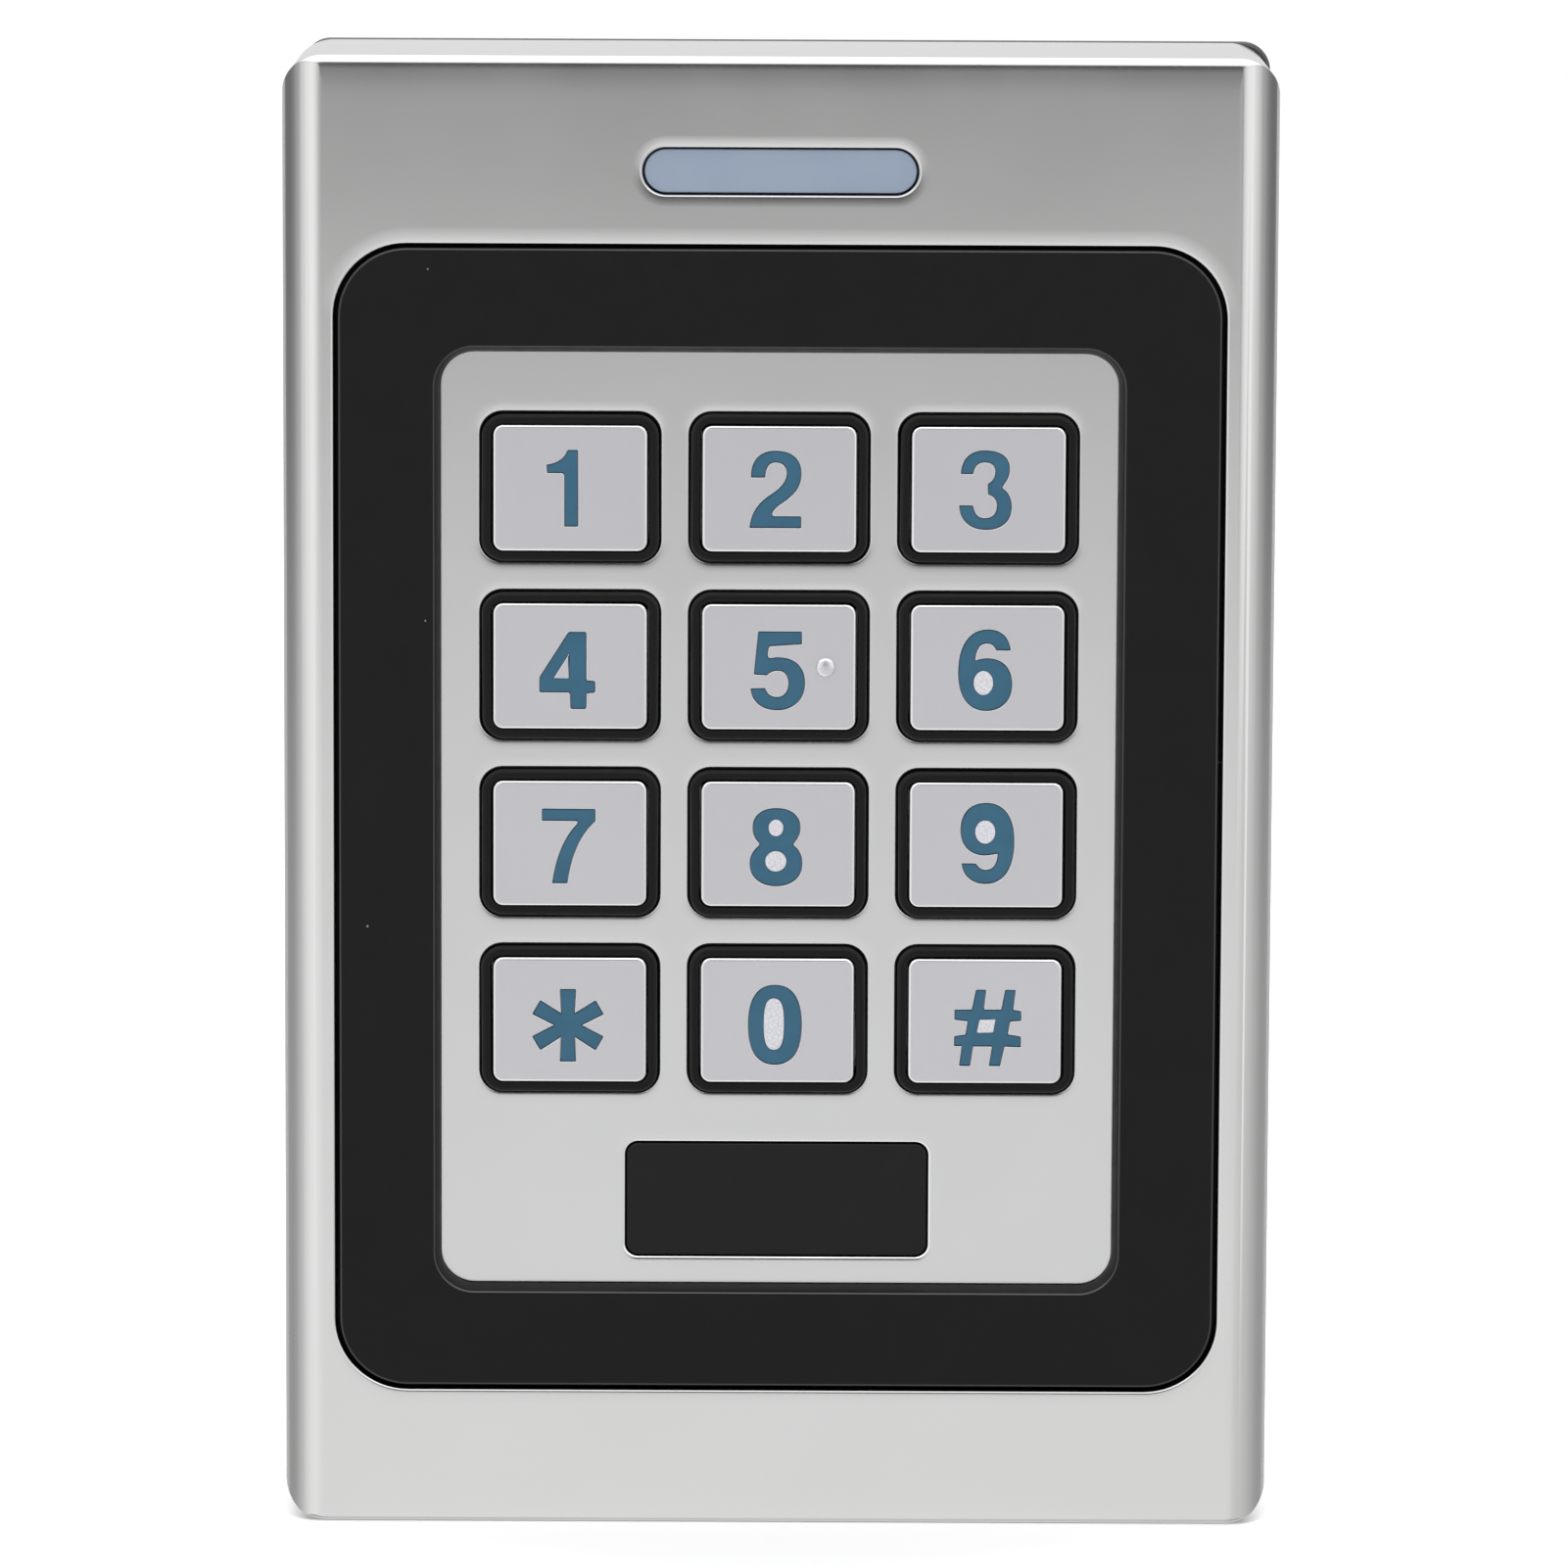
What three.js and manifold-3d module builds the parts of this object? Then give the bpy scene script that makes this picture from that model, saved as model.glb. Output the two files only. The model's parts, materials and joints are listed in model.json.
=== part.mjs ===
// Keypad access reader: a surface-mounted door entry keypad in a cast metal shell.
//
// Millimetres. +X is to the right as seen from the front, +Y points into the wall and +Z is up.
// The origin is on the wall, at the middle of the wall plate's back face, so the front of the
// reader is at y = -DEPTH. Every "front" and "back" value below is a distance behind that front.

import * as THREE from 'three';
import { mergeVertices } from 'three/addons/utils/BufferGeometryUtils.js';
import Module from 'manifold-3d';

const wasm = await Module();
wasm.setup();

// Driving dimensions.
const WIDTH = 80.4;
const HEIGHT = 120;
const DEPTH = 22;
const GAP = 0.3;

const SHELL = { back: 19.4, wall: 2.4, sideRound: 3.5, endRound: 0.85, corner: 2.8 };
const BEZEL = { z: -2.04, width: 71.1, height: 93, corner: 5.6, front: 0.1, back: 4.2 };
const OPENING = { width: 55.1, height: 76.8, corner: 2.7, chamfer: 0.5 };
const PLATE = { z: -2.15, width: 58.2, height: 80, corner: 2.6, front: 1.8, back: 3.0 };
const KEY = { width: 12.65, height: 10.3, corner: 0.85, front: 0.9, back: 5.6, travel: 0.8 };
const KEY_HOLE = { width: 14.6, height: 12.4, corner: 1.8 };
const KEY_PITCH = { x: 16.9, z: 14.5 };
const TOP_ROW_Z = 25.05;
const LED_SLOT = { z: 50.78, width: 22.7, height: 4.2 };
const WINDOW = { z: -33.4, width: 24.6, height: 9.4, corner: 1.0 };
const PCB = { z: -0.75, width: 59, height: 112.5, front: 7.5, back: 9.1 };
const COVER = { front: 15.8, back: 17.8 };
const WALL_PLATE = { front: 19.7, inset: 0.1, corner: 2.3 };
const INLET = { z: -30, bore: 4.5, neck: 8.0, flange: 9.6 };
const COVER_SCREW = { x: 33, z: 54, head: 2.5, shank: 1.0 };
const PCB_SCREW = { x: 24, topZ: 52.5, bottomZ: -54, head: 2.0, shank: 0.9 };
const LOCK_SCREW = { depth: 16.2, head: 2.4, shank: 1.4, headThick: 1.1 };
const HOOK = { x: 18, z: 48.4, width: 6, thick: 1.6 };

const ARC_STEPS = 4;
const SMALL_ARC = { radius: 1.3, steps: 2 };
const GLYPH_STEPS = 4;

// ---------------------------------------------------------------------------------------
// Outlines: closed lists of points, seen from the front.

function arc(cx, cy, radius, start, end, steps = ARC_STEPS) {
  const points = [];
  for (let i = 0; i <= steps; i += 1) {
    const angle = start + ((end - start) * i) / steps;
    points.push(new THREE.Vector2(cx + radius * Math.cos(angle), cy + radius * Math.sin(angle)));
  }
  return points;
}

function withoutRepeats(points) {
  return points.filter((p, i) => p.distanceTo(points[(i + 1) % points.length]) > 1e-3);
}

function roundedRect(width, height, corner, cx = 0, cz = 0) {
  const x = width / 2 - corner;
  const z = height / 2 - corner;
  const quarter = Math.PI / 2;
  const steps = corner < SMALL_ARC.radius ? SMALL_ARC.steps : ARC_STEPS;
  const corners = [[x, z], [-x, z], [-x, -z], [x, -z]];
  return withoutRepeats(corners.flatMap(
    ([px, pz], i) => arc(cx + px, cz + pz, corner, i * quarter, (i + 1) * quarter, steps),
  ));
}

function disc(radius, cx = 0, cz = 0) {
  return roundedRect(2 * radius, 2 * radius, radius, cx, cz);
}

function box(width, height, cx = 0, cz = 0) {
  const x = width / 2;
  const z = height / 2;
  return [[x, z], [-x, z], [-x, -z], [x, -z]].map(([px, pz]) => new THREE.Vector2(cx + px, cz + pz));
}

// ---------------------------------------------------------------------------------------
// Solids.

function toSolid(geometry) {
  geometry.deleteAttribute('normal');
  geometry.deleteAttribute('uv');
  const merged = mergeVertices(geometry, 1e-4);
  return new wasm.Manifold(new wasm.Mesh({
    numProp: 3,
    vertProperties: new Float32Array(merged.attributes.position.array),
    triVerts: new Uint32Array(merged.index.array),
  }));
}

function extruded(outline, length) {
  return new THREE.ExtrudeGeometry(new THREE.Shape(outline), { depth: length, bevelEnabled: false });
}

// An outline given in x and z, made solid between two depths behind the front.
function slab(outline, front, back) {
  const geometry = extruded(outline, back - front);
  geometry.rotateX(Math.PI / 2);
  geometry.translate(0, back - DEPTH, 0);
  return toSolid(geometry);
}

// An outline given in x and y, run from one height to another.
function upright(outline, bottom, top) {
  const geometry = extruded(outline, top - bottom);
  geometry.translate(0, 0, bottom);
  return toSolid(geometry);
}

// An outline given in y and z, run across the whole width.
function crosswise(outline) {
  const toYzx = new THREE.Matrix4().makeBasis(
    new THREE.Vector3(0, 1, 0),
    new THREE.Vector3(0, 0, 1),
    new THREE.Vector3(1, 0, 0),
  );
  const geometry = extruded(outline, WIDTH);
  geometry.applyMatrix4(toYzx);
  geometry.translate(-WIDTH / 2, 0, 0);
  return toSolid(geometry);
}

function joined(solids) {
  return solids.reduce((whole, solid) => whole.add(solid));
}

function cut(solid, tools) {
  return tools.reduce((rest, tool) => rest.subtract(tool), solid);
}

const FINISH = {
  satinNickel: { color: 0xb9b8b6, roughness: 0.32, metalness: 1.0 },
  brushedPlate: { color: 0xbfbebd, roughness: 0.3, metalness: 1.0 },
  blackPlastic: { color: 0x1d1d1e, roughness: 0.55, metalness: 0.0 },
  smokedPlastic: { color: 0x161617, roughness: 0.25, metalness: 0.0 },
  silicone: { color: 0x101011, roughness: 0.7, metalness: 0.0 },
  silverKey: { color: 0xb8b8c0, roughness: 0.35, metalness: 0.6 },
  tealGuide: { color: 0x3a7391, roughness: 0.4, metalness: 0.0 },
  frosted: { color: 0xa5b4c8, roughness: 0.5, metalness: 0.0 },
  circuitBoard: { color: 0x1c5a35, roughness: 0.5, metalness: 0.0 },
  copper: { color: 0xa8642f, roughness: 0.35, metalness: 1.0 },
  polyester: { color: 0xd8dadc, roughness: 0.4, metalness: 0.0 },
  component: { color: 0x232325, roughness: 0.5, metalness: 0.0 },
  relayCase: { color: 0x2a4d8f, roughness: 0.45, metalness: 0.0 },
  connector: { color: 0xe6e2d6, roughness: 0.5, metalness: 0.0 },
  foam: { color: 0x2b2b2c, roughness: 0.9, metalness: 0.0 },
  steel: { color: 0x8d8f92, roughness: 0.3, metalness: 1.0 },
};

const reader = new THREE.Group();

function addPart(name, solid, finish, position = [0, 0, 0]) {
  const { vertProperties, triVerts } = solid.getMesh();
  const geometry = new THREE.BufferGeometry();
  geometry.setAttribute('position', new THREE.BufferAttribute(vertProperties, 3));
  geometry.setIndex(new THREE.BufferAttribute(triVerts, 1));
  geometry.computeVertexNormals();
  const mesh = new THREE.Mesh(geometry, new THREE.MeshStandardMaterial(finish));
  mesh.name = name;
  mesh.position.set(...position);
  reader.add(mesh);
}

// ---------------------------------------------------------------------------------------
// Key legends, drawn around the middle of the key. M, L, Q and C are a move, a line, a
// quadratic and a cubic curve, as in a drawing program. "holes" are the closed counters.

const ELLIPSE = (x, z, rx, rz) => ({ x, z, rx, rz });

const GLYPHS = {
  1: {
    path: 'M -1.9 1.9 Q -0.55 2.05 -0.2 3.1 L 0.62 3.1 L 0.64 -3.1 L -0.46 -3.1 L -0.46 0.95 '
      + 'Q -0.46 1.24 -0.75 1.24 L -1.85 1.24',
    holes: [],
  },
  2: {
    path: 'M -2.3 0.95 C -2.3 2.3 -1.6 3.1 -0.3 3.1 C 1.0 3.1 1.76 2.4 1.76 1.3 '
      + 'C 1.76 0.2 1.2 -0.45 0.35 -1.03 C -0.1 -1.35 -0.6 -1.7 -0.6 -2.05 '
      + 'Q -0.58 -2.22 -0.4 -2.22 L 1.76 -2.22 L 1.76 -3.15 L -2.4 -3.15 '
      + 'C -2.25 -1.9 -1.75 -1.2 -0.75 -0.5 C 0.1 0.05 0.6 0.6 0.6 1.3 '
      + 'C 0.6 1.85 0.2 2.18 -0.3 2.18 C -0.85 2.18 -1.15 1.75 -1.17 0.95',
    holes: [],
  },
  3: {
    path: 'M -2.26 1.31 C -2.15 2.6 -1.45 3.2 -0.3 3.2 C 0.95 3.2 1.68 2.65 1.68 1.75 '
      + 'C 1.68 1.2 1.5 0.85 1.12 0.35 Q 1.05 0.15 1.2 0.05 C 1.65 -0.25 1.85 -0.75 1.85 -1.35 '
      + 'C 1.85 -2.5 1.1 -3.22 -0.2 -3.22 C -1.5 -3.22 -2.3 -2.5 -2.38 -1.27 L -1.27 -1.27 '
      + 'C -1.15 -2.0 -0.85 -2.31 -0.3 -2.31 C 0.3 -2.31 0.68 -1.95 0.68 -1.3 '
      + 'C 0.68 -0.75 0.35 -0.45 -0.02 -0.36 Q -0.1 0.1 -0.05 0.5 '
      + 'C 0.3 0.65 0.54 1.0 0.54 1.5 C 0.54 1.95 0.2 2.26 -0.3 2.26 C -0.85 2.26 -1.2 1.95 -1.27 1.31',
    holes: [],
  },
  4: {
    path: 'M -0.05 2.8 L 1.15 2.8 Q 1.32 2.8 1.32 2.62 L 1.32 -1.15 L 1.9 -1.2 '
      + 'Q 2.04 -1.22 2.04 -1.4 L 2.04 -1.95 Q 2.04 -2.12 1.9 -2.14 L 1.34 -2.2 L 1.32 -3.3 '
      + 'Q 1.3 -3.47 1.15 -3.47 L 0.22 -3.47 Q 0.06 -3.47 0.05 -3.3 L 0.02 -2.3 '
      + 'Q 0 -2.12 -0.2 -2.12 L -2.3 -2.12 Q -2.46 -2.12 -2.46 -1.95 L -2.46 -0.9 L -0.2 2.65',
    holes: ['M -0.08 1.05 L -1.36 -1.0 L -0.08 -1.0'],
  },
  5: {
    path: 'M -1.66 2.9 L 1.86 2.9 L 1.86 1.9 L -0.65 1.72 Q -0.82 1.7 -0.84 1.5 L -0.92 0.98 '
      + 'Q -0.85 0.68 -0.6 0.73 C -0.3 0.8 0 0.8 0.2 0.78 C 1.4 0.72 2.13 -0.1 2.13 -1.3 '
      + 'C 2.13 -2.6 1.2 -3.5 -0.1 -3.5 C -1.4 -3.5 -2.15 -2.8 -2.27 -1.75 L -1.1 -1.72 '
      + 'C -0.95 -2.2 -0.65 -2.45 -0.15 -2.45 C 0.45 -2.45 0.8 -2.0 0.8 -1.35 '
      + 'C 0.8 -0.65 0.45 -0.27 -0.05 -0.27 C -0.45 -0.27 -0.75 -0.4 -0.93 -0.65 L -2.0 -0.58',
    holes: [],
  },
  6: {
    path: 'M 1.87 1.46 L 0.72 1.46 C 0.55 1.8 0.35 2.02 -0.05 2.02 C -0.65 2.02 -1.0 1.5 -1.0 0.58 '
      + 'C -0.65 0.72 -0.2 0.8 0.15 0.78 C 1.3 0.72 2.0 -0.1 2.0 -1.3 C 2.0 -2.6 1.2 -3.48 -0.1 -3.48 '
      + 'C -1.6 -3.48 -2.36 -2.2 -2.36 -0.4 C -2.36 1.8 -1.5 3.14 0.05 3.14 C 1.1 3.14 1.75 2.5 1.87 1.46',
    holes: [ELLIPSE(-0.32, -1.22, 0.81, 1.0)],
  },
  7: {
    path: 'M -2.25 2.84 L 2.07 2.82 L 2.07 1.85 C 0.75 0.7 0.1 -1.1 -0.2 -3.25 L -1.42 -3.25 '
      + 'C -1.15 -1.3 -0.5 0.5 0.62 1.6 Q 0.72 1.86 0.45 1.86 L -2.25 1.88',
    holes: [],
  },
  8: {
    path: 'M -0.12 2.96 C 1.1 2.96 1.81 2.3 1.81 1.4 C 1.81 0.85 1.6 0.5 1.27 0.1 '
      + 'Q 1.2 -0.02 1.3 -0.12 C 1.75 -0.45 1.98 -1.0 1.98 -1.55 C 1.98 -2.7 1.1 -3.42 -0.15 -3.42 '
      + 'C -1.4 -3.42 -2.28 -2.7 -2.28 -1.6 C -2.28 -1.0 -2.0 -0.5 -1.55 -0.15 '
      + 'Q -1.45 0 -1.55 0.15 C -1.9 0.5 -2.05 0.9 -2.05 1.4 C -2.05 2.3 -1.35 2.96 -0.12 2.96',
    holes: [ELLIPSE(-0.17, 1.34, 0.62, 0.7), ELLIPSE(-0.17, -1.4, 0.88, 0.85)],
  },
  9: {
    path: 'M -1.98 -1.5 L -0.82 -1.52 C -0.6 -1.9 -0.35 -2.04 0 -2.04 C 0.6 -2.04 0.95 -1.5 0.96 -0.68 '
      + 'C 0.55 -0.72 0.2 -0.82 -0.15 -0.82 C -1.3 -0.8 -2.08 0 -2.08 1.2 C -2.08 2.6 -1.3 3.46 0 3.46 '
      + 'C 1.5 3.46 2.28 2.2 2.28 0.4 C 2.28 -1.8 1.5 -3.16 -0.05 -3.16 C -1.15 -3.16 -1.85 -2.5 -1.98 -1.5',
    holes: [ELLIPSE(-0.08, 1.08, 0.84, 0.97)],
  },
  0: {
    path: 'M -0.19 2.93 C 1.3 2.93 2.0 1.7 2.0 -0.35 C 2.0 -2.4 1.3 -3.63 -0.19 -3.63 '
      + 'C -1.68 -3.63 -2.37 -2.4 -2.37 -0.35 C -2.37 1.7 -1.68 2.93 -0.19 2.93',
    holes: ['M -0.27 1.83 C 0.35 1.83 0.57 1.2 0.57 -0.3 C 0.57 -1.8 0.35 -2.43 -0.27 -2.43 '
      + 'C -0.9 -2.43 -1.12 -1.8 -1.12 -0.3 C -1.12 1.2 -0.9 1.83 -0.27 1.83'],
  },
  hash: {
    path: 'M -0.73 2.6 L 0.08 2.6 L -0.1 0.97 L 1.35 0.97 L 1.66 2.6 L 2.49 2.6 L 2.28 0.95 '
      + 'L 2.95 0.85 L 2.95 0.08 L 2.05 0.02 L 1.85 -1.08 L 2.93 -1.24 L 2.93 -2.1 L 1.6 -2.05 '
      + 'L 1.25 -3.66 L 0.37 -3.66 L 0.62 -2.05 L -0.95 -2.05 L -1.19 -3.66 L -2.06 -3.66 '
      + 'L -1.85 -2.02 L -2.48 -2.02 L -2.48 -1.24 L -1.55 -1.1 L -1.38 0.02 L -2.46 0.15 '
      + 'L -2.46 0.95 L -1.05 0.97',
    holes: ['M -0.45 0.14 L -0.68 -0.96 L 0.7 -0.94 L 0.9 0.18'],
  },
};

const STAR = { x: -0.13, z: -0.46, arms: 6, reach: 2.97, tipHalfWidth: 0.65, notch: 1.08 };

function sampledPath(text) {
  const shape = new THREE.Shape();
  const draw = { M: 'moveTo', L: 'lineTo', Q: 'quadraticCurveTo', C: 'bezierCurveTo' };
  for (const [, command, numbers] of text.matchAll(/([MLQC])([^MLQC]*)/g)) {
    shape[draw[command]](...numbers.trim().split(/\s+/).map(Number));
  }
  return withoutRepeats(shape.getPoints(GLYPH_STEPS));
}

function ellipse({ x, z, rx, rz }) {
  return disc(1).map((p) => new THREE.Vector2(x + rx * p.x, z + rz * p.y));
}

function starOutline() {
  const points = [];
  for (let i = 0; i < STAR.arms; i += 1) {
    const angle = Math.PI / 2 + (2 * Math.PI * i) / STAR.arms;
    const spread = Math.atan2(STAR.tipHalfWidth, STAR.reach);
    const tip = Math.hypot(STAR.tipHalfWidth, STAR.reach);
    points.push([tip, angle - spread], [tip, angle + spread]);
    points.push([STAR.notch, angle + Math.PI / STAR.arms]);
  }
  return points.map(([radius, angle]) => new THREE.Vector2(
    STAR.x + radius * Math.cos(angle),
    STAR.z + radius * Math.sin(angle),
  ));
}

function glyphOutline(label) {
  return label === 'star' ? starOutline() : sampledPath(GLYPHS[label].path);
}

function glyphHoles(label) {
  const holes = label === 'star' ? [] : GLYPHS[label].holes;
  return holes.map((hole) => (typeof hole === 'string' ? sampledPath(hole) : ellipse(hole)));
}

// ---------------------------------------------------------------------------------------
// Keys: a hollow silver cap with its legend cut through the face, and a light guide behind.

const KEY_ROWS = [['1', '2', '3'], ['4', '5', '6'], ['7', '8', '9'], ['star', '0', 'hash']];
const KEYS = KEY_ROWS.flatMap((row, r) => row.map((label, c) => ({
  label,
  x: (c - 1) * KEY_PITCH.x,
  z: TOP_ROW_Z - r * KEY_PITCH.z,
})));

const CAP_FACE = 1.1;
const CAP_WALL = 1.1;
const CAP_FLANGE = { overhang: 0.65, thick: 0.8 };
const NUB = { x: 4, radius: 0.65, height: 0.3 };

function keyCap(label) {
  const facePlane = KEY.front + CAP_FACE;
  const pocketWidth = KEY.width - 2 * CAP_WALL;
  const pocketHeight = KEY.height - 2 * CAP_WALL;
  const flange = roundedRect(
    KEY.width + 2 * CAP_FLANGE.overhang,
    KEY.height + 2 * CAP_FLANGE.overhang,
    KEY.corner,
  );
  const block = joined([
    slab(roundedRect(KEY.width, KEY.height, KEY.corner), KEY.front, KEY.back),
    slab(flange, KEY.back - CAP_FLANGE.thick, KEY.back),
  ]);
  const cap = cut(block, [
    slab(glyphOutline(label), KEY.front - 1, facePlane + 1),
    slab(box(pocketWidth, pocketHeight), facePlane, KEY.back + 1),
  ]);
  const nub = slab(disc(NUB.radius, NUB.x), KEY.front - NUB.height, KEY.front + 0.2);
  return label === '5' ? cap.add(nub) : cap;
}

function lightGuide(label) {
  const front = KEY.front + CAP_FACE + GAP;
  const width = KEY.width - 2 * CAP_WALL - 2 * GAP;
  const height = KEY.height - 2 * CAP_WALL - 2 * GAP;
  const islands = glyphHoles(label).map((hole) => slab(hole, KEY.front + 0.1, front + 0.2));
  return joined([slab(box(width, height), front, KEY.back), ...islands]);
}

function addKeys() {
  for (const { label, x, z } of KEYS) {
    addPart(`key_cap_${label}`, keyCap(label), FINISH.silverKey, [x, 0, z]);
    addPart(`key_legend_${label}`, lightGuide(label), FINISH.tealGuide, [x, 0, z]);
  }
}

// ---------------------------------------------------------------------------------------
// Shell: a cast box open at the back, softly rounded down both sides of its face.

function shellBlank() {
  const x = WIDTH / 2;
  const z = HEIGHT / 2;
  const front = -DEPTH;
  const back = SHELL.back - DEPTH;
  const side = SHELL.sideRound;
  const end = SHELL.endRound;
  const quarter = Math.PI / 2;
  const plan = [
    new THREE.Vector2(x, back),
    new THREE.Vector2(-x, back),
    ...arc(-x + side, front + side, side, 2 * quarter, 3 * quarter, 7),
    ...arc(x - side, front + side, side, 3 * quarter, 4 * quarter, 7),
  ];
  const section = [
    new THREE.Vector2(back, -z),
    new THREE.Vector2(back, z),
    ...arc(front + end, z - end, end, quarter, 2 * quarter),
    ...arc(front + end, -z + end, end, 2 * quarter, 3 * quarter),
  ];
  return upright(plan, -z, z)
    .intersect(crosswise(section))
    .intersect(slab(roundedRect(WIDTH, HEIGHT, SHELL.corner), -1, SHELL.back));
}

function coverBosses(radius, front, back) {
  const places = [[1, 1], [-1, 1], [-1, -1], [1, -1]];
  return places.map(([i, k]) => slab(disc(radius, i * COVER_SCREW.x, k * COVER_SCREW.z), front, back));
}

function pcbPosts(radius, front, back) {
  return [PCB_SCREW.topZ, PCB_SCREW.bottomZ].flatMap(
    (z) => [-1, 1].map((side) => slab(disc(radius, side * PCB_SCREW.x, z), front, back)),
  );
}

function lockScrewPin(radius, bottom, top) {
  return upright(disc(radius, 0, LOCK_SCREW.depth - DEPTH), bottom, top);
}

function frontShell() {
  const cavity = roundedRect(WIDTH - 2 * SHELL.wall, HEIGHT - 2 * SHELL.wall, 1.2);
  const bezelHole = roundedRect(
    BEZEL.width + 0.8,
    BEZEL.height + 0.8,
    BEZEL.corner + 0.4,
    0,
    BEZEL.z,
  );
  const slot = roundedRect(LED_SLOT.width, LED_SLOT.height, LED_SLOT.height / 2, 0, LED_SLOT.z);
  const hollow = cut(shellBlank(), [
    slab(cavity, SHELL.wall, SHELL.back + 1),
    slab(bezelHole, -1, SHELL.wall + 1),
    slab(slot, -1, SHELL.wall + 1),
  ]);
  const withBosses = joined([
    hollow,
    ...coverBosses(3, SHELL.wall - 0.2, COVER.front - GAP),
    ...pcbPosts(2.5, SHELL.wall - 0.2, PCB.front - GAP),
  ]);
  return cut(withBosses, [
    ...coverBosses(COVER_SCREW.shank + GAP, 9, SHELL.back),
    ...pcbPosts(PCB_SCREW.shank + GAP, 4, PCB.front),
    lockScrewPin(LOCK_SCREW.shank + GAP, -HEIGHT / 2 - 1, -HEIGHT / 2 + SHELL.wall + 1),
    lockScrewPin(LOCK_SCREW.head + GAP, -HEIGHT / 2 - 1, -HEIGHT / 2 + LOCK_SCREW.headThick + GAP),
  ]);
}

// ---------------------------------------------------------------------------------------
// Face: black bezel, metal key plate, silicone key mat, sensor window and status lens.

const BEZEL_FLANGE = { half: 37.2, front: 2.7 };
const BEZEL_RECESS = { clearance: 0.3, front: 1.5 };

function bezelFrame() {
  const { z } = BEZEL;
  const face = slab(roundedRect(BEZEL.width, BEZEL.height, BEZEL.corner, 0, z), BEZEL.front, BEZEL.back);
  const flangeOutline = roundedRect(2 * BEZEL_FLANGE.half, BEZEL.height + 1.8, BEZEL.corner + 0.9, 0, z);
  const flange = slab(flangeOutline, BEZEL_FLANGE.front, BEZEL.back);
  const recess = roundedRect(
    PLATE.width + 2 * BEZEL_RECESS.clearance,
    PLATE.height + 2 * BEZEL_RECESS.clearance,
    PLATE.corner,
    0,
    PLATE.z,
  );
  const wide = roundedRect(
    OPENING.width + 2 * OPENING.chamfer,
    OPENING.height + 2 * OPENING.chamfer,
    OPENING.corner + OPENING.chamfer,
    0,
    PLATE.z,
  );
  const opening = roundedRect(OPENING.width, OPENING.height, OPENING.corner, 0, PLATE.z);
  return cut(face.add(flange), [
    slab(opening, -1, BEZEL.back),
    slab(wide, -1, BEZEL.front + OPENING.chamfer),
    slab(recess, BEZEL_RECESS.front, BEZEL.back + 1),
  ]);
}

function keypadPlate() {
  const sheet = roundedRect(PLATE.width, PLATE.height, PLATE.corner, 0, PLATE.z);
  const windowHole = roundedRect(WINDOW.width, WINDOW.height, WINDOW.corner, 0, WINDOW.z);
  const keyHoles = KEYS.map((key) => slab(
    roundedRect(KEY_HOLE.width, KEY_HOLE.height, KEY_HOLE.corner, key.x, key.z),
    PLATE.front - 1,
    PLATE.back + 1,
  ));
  return cut(slab(sheet, PLATE.front, PLATE.back), [
    slab(windowHole, PLATE.front - 1, PLATE.back + 1),
    ...keyHoles,
  ]);
}

const KEY_MAT = { front: 3.3, back: 4.5, collarFront: 1.25, top: 36, bottom: -26, width: 57.4 };

function keyMat() {
  const matHeight = KEY_MAT.top - KEY_MAT.bottom;
  const matZ = (KEY_MAT.top + KEY_MAT.bottom) / 2;
  const sheet = slab(roundedRect(KEY_MAT.width, matHeight, 2, 0, matZ), KEY_MAT.front, KEY_MAT.back);
  const collars = KEYS.map(({ x, z }) => slab(
    roundedRect(KEY_HOLE.width - 2 * GAP, KEY_HOLE.height - 2 * GAP, KEY_HOLE.corner - GAP, x, z),
    KEY_MAT.collarFront,
    KEY_MAT.front + 0.2,
  ));
  const wells = KEYS.map(({ x, z }) => slab(
    roundedRect(KEY.width + 2 * GAP, KEY.height + 2 * GAP, KEY.corner + GAP, x, z),
    KEY_MAT.collarFront - 1,
    KEY_MAT.back + 1,
  ));
  return cut(joined([sheet, ...collars]), wells);
}

function sensorWindow() {
  const pane = roundedRect(
    WINDOW.width - 2 * GAP,
    WINDOW.height - 2 * GAP,
    WINDOW.corner - GAP,
    0,
    WINDOW.z,
  );
  const flange = roundedRect(WINDOW.width + 3, WINDOW.height + 2.4, WINDOW.corner, 0, WINDOW.z);
  return slab(pane, PLATE.front, 3.5).add(slab(flange, PLATE.back + GAP, 4.5));
}

function statusLens() {
  const height = LED_SLOT.height - 2 * GAP;
  const pane = roundedRect(LED_SLOT.width - 2 * GAP, height, height / 2, 0, LED_SLOT.z);
  const flange = roundedRect(LED_SLOT.width + 3, LED_SLOT.height + 2.2, 1.5, 0, LED_SLOT.z);
  return slab(pane, 0.4, 3).add(slab(flange, SHELL.wall + GAP, 4.2));
}

// ---------------------------------------------------------------------------------------
// Electronics: dome sheet, circuit board, its parts and the card antenna.

const DOME = { front: KEY.back + KEY.travel + 0.1, sheetFront: 6.9, back: 7.2, radius: 2.6 };

function domeSheet() {
  const height = KEY_MAT.top - KEY_MAT.bottom - 3;
  const sheet = roundedRect(56, height, 1, 0, (KEY_MAT.top + KEY_MAT.bottom) / 2);
  const domes = KEYS.map(({ x, z }) => slab(disc(DOME.radius, x, z), DOME.front, DOME.sheetFront + 0.1));
  return joined([slab(sheet, DOME.sheetFront, DOME.back), ...domes]);
}

function mainBoard() {
  const board = slab(roundedRect(PCB.width, PCB.height, 1.5, 0, PCB.z), PCB.front, PCB.back);
  return cut(board, pcbPosts(PCB_SCREW.shank + GAP + 0.1, PCB.front - 1, PCB.back + 1));
}

const COIL = { width: 70, height: 89, band: 2.6, corner: 5, front: 4.5, back: 6.2 };

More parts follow.
